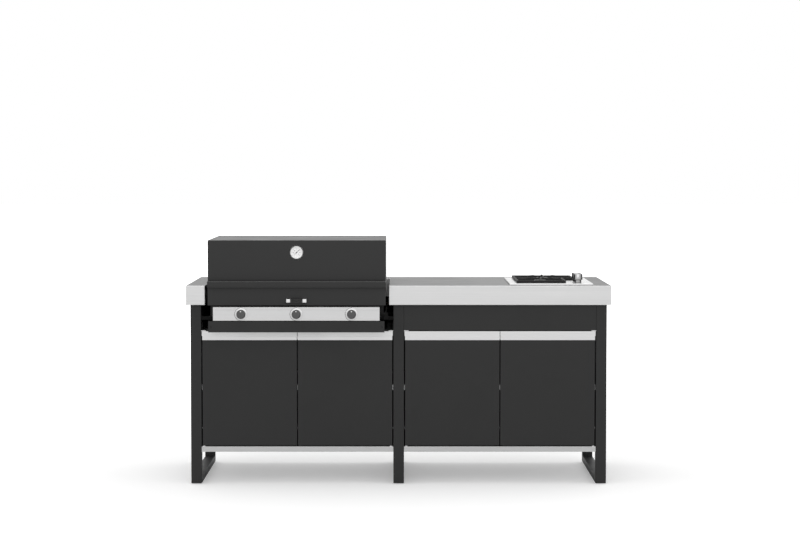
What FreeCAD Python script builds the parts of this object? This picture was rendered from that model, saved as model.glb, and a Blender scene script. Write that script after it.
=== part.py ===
"""Free-standing outdoor kitchen island, in millimetres.

Three closed steel frame loops carry two cabinets with two doors each, a folded stainless
worktop, a drop-in gas grill with a hinged lid in the left bay, and a two-burner hob in the
worktop of the right bay. The front faces -Y, +X is to the right and +Z is up. The origin is
on the floor, at the middle of the overall box. Inside this file every depth is counted
from the front faces of the legs, and one placement carries all of them to the origin.
"""

import FreeCAD
import Part
import Sketcher
import math
import os
import re

SIZES = {
    # Frame loops
    "tube_width": 50.0,
    "tube_depth": 30.0,
    "tube_wall": 2.0,
    "tube_corner": 1.5,
    "glide_thickness": 3.0,
    "glide_width": 26.0,
    "glide_inset": 32.0,
    "rail_height": 30.0,
    # Worktop
    "worktop_top": 935.0,
    "worktop_sheet": 2.0,
    "apron_height": 90.0,
    "rear_strip": 125.0,
    "overhang_side": 19.0,
    "overhang_front": 20.0,
    "worktop_edge": 0.8,
    # Cabinets
    "panel_sheet": 2.0,
    "panel_fold": 20.0,
    "end_panel_inset": 2.0,
    "back_panel_inset": 10.0,
    "back_panel_fold": 18.0,
    "floor_base": 152.0,
    "floor_thickness": 25.0,
    "middle_shelf_base": 441.0,
    "middle_shelf_thickness": 25.0,
    "lower_shelf_base": 259.5,
    "lower_shelf_thickness": 5.0,
    "shelf_clearance": 4.0,
    "vent_length": 90.0,
    "vent_height": 7.0,
    "vent_pitch": 18.0,
    "vent_count": 6.0,
    "vent_rise": 520.0,
    # Doors
    "door_thickness": 20.0,
    "door_gap_side": 5.0,
    "door_gap_middle": 4.0,
    "door_gap_bottom": 4.0,
    "door_height": 497.5,
    "door_sheet": 2.0,
    "door_edge": 1.5,
    "pull_height": 41.5,
    "pull_wall": 3.0,
    "pull_back_height": 22.0,
    "pull_groove_height": 18.0,
    "pull_groove_width": 1.6,
    "pull_groove_depth": 1.0,
    "pull_lip_hinge": 2.5,
    "pull_lip_middle": 0.8,
    "pivot_inset": 6.0,
    "pivot_pin_diameter": 8.0,
    "pivot_running_gap": 0.05,
    "pivot_pin_reach": 18.0,
    "pivot_block": 16.0,
    "pivot_plate_width": 22.0,
    "pivot_plate_thickness": 3.0,
    "pivot_washer": 2.5,
    "pivot_washer_width": 11.5,
    "top_gap": 1.0,
    "angle_leg": 25.0,
    "angle_thickness": 3.0,
    "angle_drop": 46.0,
    "angle_clearance": 5.0,
    "catch_width": 60.0,
    "catch_height": 14.0,
    "catch_gap": 0.3,
    # Grill body
    "lid_width": 829.0,
    "grill_side_room": 35.5,
    "grill_gap": 16.0,
    "grill_sheet": 2.0,
    "cutout_margin": 20.0,
    "firebox_base": 790.0,
    "firebox_top": 925.0,
    "firebox_inset": 10.0,
    "firebox_proud": 10.0,
    "firebox_slot_width": 70.0,
    "firebox_slot_margin": 120.0,
    "bearer_width": 20.0,
    "bearer_height": 16.0,
    "bearer_front": 5.0,
    "bearer_rear": 40.0,
    "ledge_depth": 14.0,
    "tamer_ledge_top": 846.0,
    "grate_ledge_top": 903.0,
    "burner_diameter": 30.0,
    "burner_wall": 2.0,
    "burner_rise": 22.0,
    "burner_seat_gap": 0.3,
    "burner_nose": 10.0,
    "tamer_end_gap": 4.0,
    "tamer_width": 116.0,
    "tamer_height": 30.0,
    "tamer_sheet": 1.5,
    "lift_gap": 0.3,
    "grate_gap": 2.0,
    "grate_height": 16.0,
    "grate_bar": 8.0,
    "grate_bar_top": 5.0,
    "grate_pitch": 24.0,
    "grate_end_bar": 14.0,
    "grate_end_height": 9.0,
    # Lid
    "hood_depth": 595.0,
    "hood_proud": 40.0,
    "hood_base": 959.0,
    "hood_top": 1148.0,
    "hood_corner": 2.0,
    "rim_base": 931.0,
    "rim_proud": 36.0,
    "rim_edge": 1.6,
    "band_base": 845.0,
    "band_back": 8.0,
    "band_hem": 12.0,
    "handle_width": 95.0,
    "handle_height": 17.0,
    "handle_reach": 35.0,
    "handle_rise": 14.5,
    "handle_post": 19.0,
    "handle_grip_depth": 16.0,
    "handle_grip_height": 14.0,
    "handle_round": 3.0,
    "grip_setback": 1.0,
    "hinge_back": 12.0,
    "hinge_drop": 8.0,
    "hinge_pin_diameter": 8.0,
    "hinge_running_gap": 0.05,
    "hinge_ear": 6.0,
    "hinge_ear_gap": 0.5,
    "hinge_ear_radius": 8.0,
    "hinge_spacing": 640.0,
    "hinge_foot_length": 30.0,
    "hinge_foot_width": 34.0,
    "hinge_foot_height": 4.0,
    # Thermometer
    "dial_rise": 132.0,
    "dial_case_diameter": 59.0,
    "dial_case_depth": 10.0,
    "dial_rim": 2.5,
    "dial_plate": 1.2,
    "dial_glass": 1.2,
    "dial_gap": 0.4,
    "dial_fit": 0.1,
    "needle_length": 20.0,
    "needle_tail": 9.0,
    "needle_head": 5.0,
    "needle_thickness": 0.8,
    "needle_hub": 3.0,
    "needle_post": 1.0,
    "probe_diameter": 6.0,
    "probe_length": 40.0,
    # Control panel, knobs and gas parts
    "control_width": 773.0,
    "control_base": 776.5,
    "control_height": 62.5,
    "control_proud": 85.0,
    "knob_pitch": 256.5,
    "knob_axis": 806.0,
    "knob_base_diameter": 42.0,
    "knob_face_diameter": 39.0,
    "knob_height": 27.0,
    "knob_skirt": 7.0,
    "knob_lift": 3.0,
    "knob_mark": 3.0,
    "knob_mark_rise": 0.6,
    "knob_mark_radius": 14.5,
    "bezel_diameter": 57.0,
    "bezel_bore": 46.0,
    "bezel_thickness": 2.0,
    "stem_diameter": 6.0,
    "stem_hole": 12.0,
    "stem_running_gap": 0.05,
    "stem_reach": 10.0,
    "valve_width": 24.0,
    "valve_height": 24.0,
    "valve_length": 32.0,
    "valve_neck": 13.0,
    "valve_neck_width": 15.0,
    "nozzle_diameter": 8.0,
    "nozzle_length": 22.0,
    "manifold_diameter": 18.0,
    "manifold_length": 660.0,
    "gas_pipe_diameter": 12.0,
    "gas_elbow": 20.0,
    "gas_pipe_side": 35.0,
    "gas_inlet_height": 800.0,
    "gas_inlet_diameter": 16.0,
    "gas_inlet_length": 45.0,
    "gas_nut_width": 24.0,
    "gas_nut_thickness": 4.0,
    # Drip tray
    "tray_front_width": 818.0,
    "tray_front_base": 722.0,
    "tray_front_height": 51.5,
    "tray_front_fold": 20.0,
    "tray_width": 752.0,
    "tray_length": 563.0,
    "tray_height": 40.0,
    "tray_sheet": 1.5,
    "runner_width": 90.0,
    "runner_thickness": 3.0,
    "runner_height": 34.0,
    "runner_length": 600.0,
    # Hob
    "hob_width": 390.0,
    "hob_depth": 500.0,
    "hob_rise": 8.0,
    "hob_centre": 241.0,
    "hob_front": 11.0,
    "hob_edge": 2.0,
    "hob_cutout_margin": 16.0,
    "hob_burner_diameter": 66.0,
    "hob_burner_neck": 24.0,
    "hob_burner_height": 5.0,
    "hob_cap_diameter": 56.0,
    "hob_cap_height": 4.0,
    "hob_cap_step": 3.0,
    "hob_neck_length": 24.0,
    "support_front_width": 232.0,
    "support_front_depth": 212.0,
    "support_rear_width": 287.0,
    "support_rear_depth": 213.0,
    "support_start": 47.0,
    "support_between": 5.0,
    "support_left": 35.0,
    "support_bar": 10.0,
    "support_height": 12.0,
    "support_foot": 4.0,
    "support_finger_rise": 7.0,
    "support_finger_gap": 40.0,
    "hob_knob_diameter": 43.0,
    "hob_knob_height": 44.0,
    "hob_knob_shoulder": 16.0,
    "hob_knob_neck": 32.0,
    "hob_knob_nib_end": 6.0,
    "hob_knob_nib_start": 16.5,
    "hob_knob_side": 67.0,
    "hob_knob_start": 50.0,
    "hob_knob_spacing": 90.0,
    "hob_rail_height": 10.0,
    "hob_rail_width": 16.0,
    "hob_rail_overlap": 16.0,
    "hob_pipe_height": 860.0,
}

PLACES = {
    "bay_width": "lid_width + 2 * grill_side_room",
    "hood_rear": "hood_depth - hood_proud",
    "cutout_rear": "hood_rear + cutout_margin",
    "frame_depth": "cutout_rear + rear_strip",
    "frame_pitch": "bay_width + tube_width",
    "bay_centre": "frame_pitch / 2",
    "half_bay": "bay_width / 2",
    "half_frames": "frame_pitch + tube_width / 2",
    "front_reach": "control_proud + knob_lift + knob_height",
    "legs_front": "(front_reach - frame_depth) / 2",
    "frame_top": "worktop_top - worktop_sheet",
    "panel_top": "frame_top - tube_depth",
    "rear_inside": "frame_depth - tube_depth",
    "back_panel_front": "frame_depth - back_panel_inset - back_panel_fold",
    "floor_top": "floor_base + floor_thickness",
    "door_base": "floor_top + door_gap_bottom",
    "door_top": "door_base + door_height",
    "door_width": "half_bay - door_gap_side - door_gap_middle / 2",
    "pull_top": "door_top + pull_height",
    "plate_base": "pull_top + top_gap",
    "plate_top": "plate_base + pivot_plate_thickness",
    "angle_front": "door_thickness + angle_clearance",
    "shelf_front": "door_thickness + shelf_clearance",
    "pivot_bore": "pivot_pin_diameter / 2 + pivot_running_gap",
    "grill_x": "-bay_centre",
    "cutout_half": "lid_width / 2 + grill_gap",
    "firebox_half": "lid_width / 2 - firebox_inset",
    "firebox_front": "-firebox_proud",
    "firebox_rear": "hood_rear - firebox_inset",
    "firebox_inside": "firebox_half - grill_sheet",
    "burner_axis": "firebox_base + burner_rise",
    "burner_hole": "burner_diameter / 2 + burner_seat_gap",
    "grate_width": "firebox_inside - grate_gap * 3 / 2",
    "hinge_y": "hood_rear + hinge_back",
    "hinge_z": "hood_base - hinge_drop",
    "rim_front": "-(hood_proud + rim_proud)",
    "band_front": "-(hood_proud + band_back)",
    "dial_z": "hood_base + dial_rise",
    "control_front": "-control_proud",
    "control_top": "control_base + control_height",
    "manifold_z": "burner_axis - valve_height / 2 - manifold_diameter / 2 - 1",
    "valve_base": "manifold_z + manifold_diameter / 2",
    "valve_front": "control_front + panel_sheet + valve_neck",
    "manifold_y": "valve_front + valve_length - manifold_diameter / 2",
    "valve_rear": "valve_front + valve_length",
    "runner_base": "plate_top + lift_gap",
    "tray_base": "runner_base + runner_thickness + lift_gap",
    "hob_x": "bay_centre + hob_centre",
    "hob_top": "worktop_top + hob_rise",
    "hob_under": "hob_top - worktop_sheet",
    "support_base": "hob_top + lift_gap",
    "support_front_y": "hob_front + support_start",
    "support_rear_y": "support_front_y + support_front_depth + support_between",
    "support_left_x": "hob_x - hob_width / 2 + support_left",
    "burner_front_x": "support_left_x + support_front_width / 2",
    "burner_front_y": "support_front_y + support_front_depth / 2",
    "burner_rear_x": "support_left_x + support_rear_width / 2",
    "burner_rear_y": "support_rear_y + support_rear_depth / 2",
    "hob_knob_x": "hob_x + hob_width / 2 - hob_knob_side",
    "hob_knob_front_y": "hob_front + hob_knob_start",
    "hob_knob_rear_y": "hob_knob_front_y + hob_knob_spacing",
    "hob_valve_base": "hob_under - valve_height",
    "hob_rail_base": "hob_valve_base - hob_rail_height",
}

NORMALS = {"XY": "+z", "XZ": "-y", "YZ": "+x"}
TURNS = {
    "+z": FreeCAD.Rotation(),
    "-y": FreeCAD.Rotation(FreeCAD.Vector(1, 0, 0), 90),
    "+y": FreeCAD.Rotation(FreeCAD.Vector(1, 0, 0), -90),
    "+x": FreeCAD.Rotation(FreeCAD.Vector(0, 1, 0), 90),
}
NAME = re.compile(r"[a-z][a-z_]*[a-z]")
FUNCTIONS = ("floor",)
NEAR = 1e-4
ROUND_SIDES = 24
PIPE_SIDES = 12
DIAGONAL = 0.7071

doc = FreeCAD.newDocument("kitchen_island")
nodes = {}
cuts = []
made = {}


def bound(text):
    """Write every size or place named in an expression as a cell or a property."""

    def owner(match):
        word = match.group(0)
        if word in SIZES:
            return "Sizes." + word
        if word in PLACES:
            return "Places." + word
        if word in FUNCTIONS:
            return word
        raise KeyError(word)

    return NAME.sub(owner, str(text))


def bind(thing, field, text):
    """Bind one property of an object to an expression of sizes and places."""
    thing.setExpression(field, bound(text))


def write_sizes():
    """Fill the sheet of driving sizes and the set of places worked out from them."""
    sheet = doc.addObject("Spreadsheet::Sheet", "Sizes")
    for row, (word, number) in enumerate(SIZES.items(), start=1):
        sheet.set(f"A{row}", word)
        sheet.set(f"B{row}", str(number))
        sheet.setAlias(f"B{row}", word)
    doc.recompute()
    places = doc.addObject("App::VarSet", "Places")
    for word, text in PLACES.items():
        places.addProperty("App::PropertyFloat", word, "Places")
        bind(places, word, text)
    doc.recompute()
    return sheet, places


sheet, places = write_sizes()


def value(word):
    """Read a size or a place as a number."""
    if word in SIZES:
        return float(sheet.get(word))
    return float(getattr(places, word))


def label_for(stem):
    """Give each object a name of its own."""
    made[stem] = made.get(stem, 0) + 1
    return stem if made[stem] == 1 else f"{stem}_{made[stem]}"


def put(thing, at, facing="+z"):
    """Place an object; its depth is counted from the legs' front faces."""
    thing.Placement = FreeCAD.Placement(FreeCAD.Vector(), TURNS[facing])
    for axis, text in zip("xyz", at):
        offset = f"legs_front + ({text})" if axis == "y" else text
        bind(thing, f"Placement.Base.{axis}", offset)
    return thing


def block(stem, at, size):
    """A plain bar or plate by its lowest corner and its three sizes."""
    box = doc.addObject("Part::Box", label_for(stem))
    for field, text in zip(("Length", "Width", "Height"), size):
        bind(box, field, text)
    return put(box, at)


def rod(stem, at, diameter, length, facing="+z"):
    """A round bar by the centre of its first end."""
    bar = doc.addObject("Part::Cylinder", label_for(stem))
    bind(bar, "Radius", f"({diameter}) / 2")
    bind(bar, "Height", length)
    return put(bar, at, facing)


def cut(stem, base, tool):
    """Take one solid out of another."""
    left = doc.addObject("Part::Cut", label_for(stem))
    left.Base = base
    left.Tool = tool
    cuts.append((left, base))
    return left


def join(stem, *parts):
    """Weld solids into one."""
    whole = doc.addObject("Part::MultiFuse", label_for(stem))
    whole.Shapes = list(parts)
    whole.Refine = True
    return whole


def pan(stem, at, size, wall, mouth):
    """A folded tray of sheet: five walls, open towards its mouth."""
    outer = block(stem + "_outer", at, size)
    low = [f"({place}) + ({wall})" for place in at]
    span = [f"({length}) - 2 * ({wall})" for length in size]
    axis = "xyz".index(mouth[1])
    span[axis] = f"({size[axis]}) + ({wall})"
    low[axis] = f"({at[axis]}) + ({wall})"
    if mouth[0] == "-":
        low[axis] = f"({at[axis]}) - 2 * ({wall})"
    inner = block(stem + "_inner", low, span)
    return cut(stem, outer, inner)


def new_body(stem, at, facing="+z"):
    """An empty body, placed."""
    return put(doc.addObject("PartDesign::Body", label_for(stem)), at, facing)


def sketch(body, stem, side, level="0"):
    """A sketch on one of the body's own origin planes, lifted along its normal."""
    drawing = body.newObject("Sketcher::SketchObject", label_for(stem))
    planes = body.Origin.OriginFeatures
    home = next(plane for plane in planes if plane.Role == side + "_Plane")
    drawing.AttachmentSupport = (home, [""])
    drawing.MapMode = "FlatFace"
    bind(drawing, "AttachmentOffset.Base.z", level)
    return drawing


def outline(drawing, points):
    """A closed outline of straight runs with every corner bound to its two expressions."""
    first = drawing.GeometryCount
    count = len(points)
    for step in range(count):
        after = (step + 1) % count
        start = FreeCAD.Vector(step, step * step, 0)
        end = FreeCAD.Vector(after, after * after, 0)
        drawing.addGeometry(Part.LineSegment(start, end))
    for step in range(count):
        after = (step + 1) % count
        drawing.addConstraint(
            Sketcher.Constraint("Coincident", first + step, 2, first + after, 1))
    for step, point in enumerate(points):
        places_of_step = zip(("DistanceX", "DistanceY"), (step, step * step), point)
        for kind, start, text in places_of_step:
            rule = Sketcher.Constraint(kind, -1, 1, first + step, 1, float(start))
            index = drawing.addConstraint(rule)
            bind(drawing, f"Constraints[{index}]", text)
    return drawing


def circle(drawing, centre, radius):
    """A circle bound by its centre and radius."""
    first = drawing.GeometryCount
    middle = FreeCAD.Vector(1, 1, 0)
    drawing.addGeometry(Part.Circle(middle, FreeCAD.Vector(0, 0, 1), 1.0))
    rules = [("DistanceX", centre[0]), ("DistanceY", centre[1])]
    for kind, text in rules:
        index = drawing.addConstraint(Sketcher.Constraint(kind, -1, 1, first, 3, 1.0))
        bind(drawing, f"Constraints[{index}]", text)
    index = drawing.addConstraint(Sketcher.Constraint("Radius", first, 1.0))
    bind(drawing, f"Constraints[{index}]", radius)
    return drawing


def rectangle(drawing, low, high):
    """A rectangle by two opposite corners."""
    corners = [(low[0], low[1]), (high[0], low[1]), (high[0], high[1]), (low[0], high[1])]
    return outline(drawing, corners)


def grow(kind, body, drawing, length, toward, side):
    """Pad or pocket a sketch by a length, towards one direction or both."""
    feature = body.newObject("PartDesign::" + kind, label_for(kind.lower()))
    feature.Profile = (drawing, [""])
    bind(feature, "Length", length)
    if toward == "both":
        feature.SideType = "Symmetric"
    elif kind == "Pad":
        feature.Reversed = toward != NORMALS[side]
    else:
        feature.Reversed = toward == NORMALS[side]
    return feature


def pad(body, drawing, length, toward, side):
    """Add a straight run of a sketch."""
    return grow("Pad", body, drawing, length, toward, side)


def pocket(body, drawing, length, toward, side):
    """Take a straight run of a sketch away, and remember it for the volume check."""
    before = body.Tip
    feature = grow("Pocket", body, drawing, length, toward, side)
    cuts.append((feature, before))
    return feature


def many_sided(stem, at, radius, low, high, facing="+z", sides=ROUND_SIDES, turn=0.0):
    """A many-sided disc between two heights above a point, along the way it faces."""
    step = {"+z": (0, 0, 1), "-y": (0, -1, 0), "+y": (0, 1, 0), "+x": (1, 0, 0)}[facing]
    start = [f"{text} + {way} * ({low})" for text, way in zip(at, step)]
    ring = doc.addObject("Part::RegularPolygon", label_for(stem + "_ring"))
    ring.Polygon = sides
    bind(ring, "Circumradius", radius)
    put(ring, start, facing)
    ring.Placement.Rotation = TURNS[facing] * FreeCAD.Rotation(FreeCAD.Vector(0, 0, 1), turn)
    disc = doc.addObject("Part::Extrusion", label_for(stem))
    disc.Base = ring
    disc.DirMode = "Custom"
    disc.Dir = FreeCAD.Vector(*step)
    disc.Solid = True
    bind(disc, "LengthFwd", f"{high} - ({low})")
    return disc


def prism(stem, at, diameter, length, facing="+z", sides=PIPE_SIDES):
    """A many-sided bar by the centre of its first end."""
    return many_sided(stem, at, f"({diameter}) / 2", "0", length, facing, sides)


def ribbed(stem, at, radius, low, high, facing="+z"):
    """A disc with ribs: two coarser discs, one turned half a side from the other."""
    coarse = ROUND_SIDES // 2
    return [many_sided(stem, at, radius, low, high, facing, coarse, turn)
            for turn in (0.0, 180.0 / coarse)]


def turned(stem, at, profile, facing="+z"):
    """A turned piece: its half profile is (radius, height) along the way it faces."""
    body = new_body(stem, at, facing)
    drawing = outline(sketch(body, stem + "_profile", "XZ"), profile)
    spin = body.newObject("PartDesign::Revolution", label_for("turning"))
    spin.Profile = (drawing, [""])
    spin.ReferenceAxis = (drawing, ["V_Axis"])
    spin.Angle = 360.0
    return body


def edges_of(feature, chosen):
    """Names of the edges that a rule picks from a feature."""
    doc.recompute()
    picked = []
    for index, edge in enumerate(feature.Shape.Edges, start=1):
        if chosen(edge, feature.Shape.BoundBox):
            picked.append(f"Edge{index}")
    if not picked:
        raise RuntimeError(feature.Name + " has no edge to finish")
    return picked


def finish_edges(body, kind, size, chosen):
    """Round or bevel the chosen edges of the body's last feature."""
    last = body.Tip
    picked = edges_of(last, chosen)
    feature = body.newObject("PartDesign::" + kind, label_for(kind.lower()))
    feature.Base = (last, picked)
    bind(feature, "Radius" if kind == "Fillet" else "Size", size)
    return feature


def spans(edge):
    """Lengths of an edge's own box."""
    box = edge.BoundBox
    return box.XLength, box.YLength, box.ZLength


def runs_along(axis):
    """A rule that picks straight edges along one axis."""
    other = [index for index in range(3) if index != "xyz".index(axis)]

    def rule(edge, whole):
        lengths = spans(edge)
        return all(lengths[index] < NEAR for index in other)

    return rule


def lies_at(side, limit):
    """A rule that picks edges lying in one outer face of the whole shape."""

    def rule(edge, whole):
        name = side.upper() + limit
        level = getattr(whole, name)
        box = edge.BoundBox
        low = getattr(box, side.upper() + "Min")
        high = getattr(box, side.upper() + "Max")
        return abs(low - level) < NEAR and abs(high - level) < NEAR

    return rule


def row_of(body, feature, axis, length, count):
    """Repeat a feature along one axis of the body."""
    pattern = body.newObject("PartDesign::LinearPattern", label_for("row"))
    pattern.Originals = [feature]
    origin_axes = body.Origin.OriginFeatures
    way = next(item for item in origin_axes if item.Role == axis + "_Axis")
    pattern.Direction = (way, [""])
    pattern.Mode = "Extent"
    bind(pattern, "Length", length)
    bind(pattern, "Occurrences", count)
    body.Tip = pattern
    return pattern


def keep(label, *parts):
    """Give a node its label; several solids of one kind share a node."""
    thing = parts[0]
    if len(parts) > 1:
        thing = doc.addObject("Part::Compound", label_for("group"))
        thing.Links = list(parts)
    thing.Label = label
    nodes[label] = thing
    return thing


# Frame loops: four mitred tubes each

def tube(stem, x, corners, hollow, axis):
    """One hollow frame tube from its side outlines, its long edges eased."""
    body = new_body(stem, (x, "0", "0"))
    drawing = outline(sketch(body, stem + "_side", "YZ"), corners)
    pad(body, drawing, "tube_width", "both", "YZ")
    finish_edges(body, "Chamfer", "tube_corner", runs_along(axis))
    bore = outline(sketch(body, stem + "_hollow", "YZ"), hollow)
    pocket(body, bore, "tube_width - 2 * tube_wall", "both", "YZ")
    return body


def frame_loop(label, x):
    """Front leg, rear leg, floor runner and top rail, mitred into a closed loop."""

    def ring(inset):
        return [(inset, f"glide_thickness + {inset}"),
                (f"frame_depth - ({inset})", f"glide_thickness + {inset}"),
                (f"frame_depth - ({inset})", f"frame_top - ({inset})"),
                (inset, f"frame_top - ({inset})")]

    outer = ring("0")
    inner = ring("tube_depth")
    skin = ring("tube_wall")
    core = ring("tube_depth - tube_wall")
    tubes = []
    for step, (stem, axis) in enumerate(
            [("runner", "y"), ("rear_leg", "z"), ("top_rail", "y"), ("front_leg", "z")]):
        after = (step + 1) % 4
        corners = [outer[step], outer[after], inner[after], inner[step]]
        hollow = [skin[step], skin[after], core[after], core[step]]
        tubes.append(tube(stem, x, corners, hollow, axis))
    keep(label, *tubes)


def frames():
    """Three loops, the rails between them and the glides under them."""
    centres = {"frame_left": "-frame_pitch", "frame_middle": "0", "frame_right": "frame_pitch"}
    glides = []
    for label, x in centres.items():
        frame_loop(label, x)
        for y in ("glide_inset", "frame_depth - glide_inset - glide_width"):
            glides.append(block("glide", (f"{x} - glide_width / 2", y, "0"),
                                ("glide_width", "glide_width", "glide_thickness")))
    keep("foot_glides", *glides)
    rails = []
    for sign in ("-1", "1"):
        x = f"{sign} * bay_centre - half_bay"
        rails.append(block("rear_rail", (x, "rear_inside - tube_depth", "frame_top - rail_height"),
                           ("bay_width", "tube_depth", "rail_height")))
    keep("rear_rails", *rails)


# Worktop: one folded sheet with its two cut-outs

def worktop():
    """Top sheet with aprons at the front and sides and round the grill's cut-out."""
    side = "half_frames + overhang_side"
    inside = "half_frames + overhang_side - worktop_sheet"
    front = "-overhang_front"
    lip = "-overhang_front + worktop_sheet"
    left = "grill_x - cutout_half"
    right = "grill_x + cutout_half"
    body = new_body("worktop", ("0", "0", "worktop_top - apron_height"))
    plan = [("-(" + side + ")", front), (left, front), (left, "cutout_rear"),
            (right, "cutout_rear"), (right, front), (side, front),
            (side, "frame_depth"), ("-(" + side + ")", "frame_depth")]
    pad(body, outline(sketch(body, "worktop_plan", "XY"), plan), "apron_height", "+z", "XY")
    finish_edges(body, "Chamfer", "worktop_edge", lies_at("z", "Max"))
    hollow = [("-(" + inside + ")", lip), (left + " - worktop_sheet", lip),
              (left + " - worktop_sheet", "cutout_rear + worktop_sheet"),
              (right + " + worktop_sheet", "cutout_rear + worktop_sheet"),
              (right + " + worktop_sheet", lip), (inside, lip),
              (inside, "frame_depth + worktop_sheet"),
              ("-(" + inside + ")", "frame_depth + worktop_sheet")]
    pocket(body, outline(sketch(body, "worktop_hollow", "XY"), hollow),
           "apron_height - worktop_sheet", "+z", "XY")
    half = "hob_width / 2 - hob_cutout_margin"
    low = (f"hob_x - ({half})", "hob_front + hob_cutout_margin")
    high = (f"hob_x + ({half})", "hob_front + hob_depth - hob_cutout_margin")
    pocket(body, rectangle(sketch(body, "hob_cutout", "XY"), low, high), "apron_height", "+z", "XY")
    keep("worktop", body)


# Cabinets

def cabinets():
    """Side, end and back panels, floors and shelves of the two bays."""
    insides = []
    ends = []
    floors = []
    middle_shelves = []
    lower_shelves = []
    panel_height = "panel_top - floor_base"
    run = "rear_inside - tube_depth"
    for sign in ("-1", "1"):
        low_x = f"{sign} * bay_centre - half_bay"
        high_x = f"{sign} * bay_centre + half_bay"
        insides.append(pan("side_panel", (f"{low_x} - panel_fold", "tube_depth", "floor_base"),
                           ("panel_fold", run, panel_height), "panel_sheet", "-x"))
        insides.append(pan("side_panel", (high_x, "tube_depth", "floor_base"),
                           ("panel_fold", run, panel_height), "panel_sheet", "+x"))
        floors.append(pan("cabinet_floor", (low_x, "0", "floor_base"),
                          ("bay_width", "back_panel_front", "floor_thickness"),
                          "panel_sheet", "-z"))
        shelf_run = "back_panel_front - shelf_front"
        middle_shelves.append(pan("middle_shelf", (low_x, "shelf_front", "middle_shelf_base"),
                                  ("bay_width", shelf_run, "middle_shelf_thickness"),
                                  "panel_sheet", "-z"))
        lower_shelves.append(block("lower_shelf", (low_x, "shelf_front", "lower_shelf_base"),
                                   ("bay_width", shelf_run, "lower_shelf_thickness")))
    left_end = "end_panel_inset - half_frames"
    right_end = "half_frames - end_panel_inset - panel_fold"
    for x, mouth in ((left_end, "+x"), (right_end, "-x")):
        ends.append(pan("end_panel", (x, "tube_depth", "floor_base"),
                        ("panel_fold", run, panel_height), "panel_sheet", mouth))
    keep("side_panels", *insides)
    keep("end_panels", *ends)
    keep("cabinet_floors", *floors)
    keep("middle_shelves", *middle_shelves)
    keep("lower_shelves", *lower_shelves)
    fascia = pan("right_fascia", ("bay_centre - half_bay", "0", "plate_top"),
                 ("bay_width", "door_thickness", "frame_top - plate_top"), "panel_sheet", "+y")
    keep("right_fascia", fascia)


def back_panel(label, sign, inlet_x, inlet_z):
    """A folded back panel with a bank of vent slots on each side and a gas hole."""
    body = new_body(label, (f"{sign} * bay_centre", "back_panel_front", "floor_base"))
    height = "frame_top - floor_base"
    face = rectangle(sketch(body, label + "_face", "XZ"), ("-half_bay", "0"), ("half_bay", height))
    pad(body, face, "back_panel_fold", "+y", "XZ")
    inner = rectangle(sketch(body, label + "_inner", "XZ"),
                      ("panel_sheet - half_bay", "panel_sheet"),
                      ("half_bay - panel_sheet", f"{height} - panel_sheet"))
    pocket(body, inner, "back_panel_fold - panel_sheet", "+y", "XZ")
    hole = circle(sketch(body, label + "_hole", "XZ"),
                  (f"{inlet_x} - ({sign}) * bay_centre", f"{inlet_z} - floor_base"),
                  "gas_inlet_diameter / 2 + burner_seat_gap")
    pocket(body, hole, "2 * back_panel_fold", "both", "XZ")
    slots = sketch(body, label + "_vents", "XZ")
    for middle in ("-half_bay / 2", "half_bay / 2"):
        rectangle(slots, (f"{middle} - vent_length / 2", "vent_rise - floor_base"),
                  (f"{middle} + vent_length / 2", "vent_rise - floor_base + vent_height"))
    first = pocket(body, slots, "2 * back_panel_fold", "both", "XZ")
    row_of(body, first, "Z", "vent_pitch * (vent_count - 1)", "vent_count")
    return body


def back_panels():
    """The two back panels."""
    left = back_panel("back_left", "-1", "-(tube_width / 2 + gas_pipe_side)", "gas_inlet_height")
    right = back_panel("back_right", "1", "frame_pitch - tube_width / 2 - gas_pipe_side",
                       "hob_pipe_height")
    keep("back_panels", left, right)


# Doors

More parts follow.
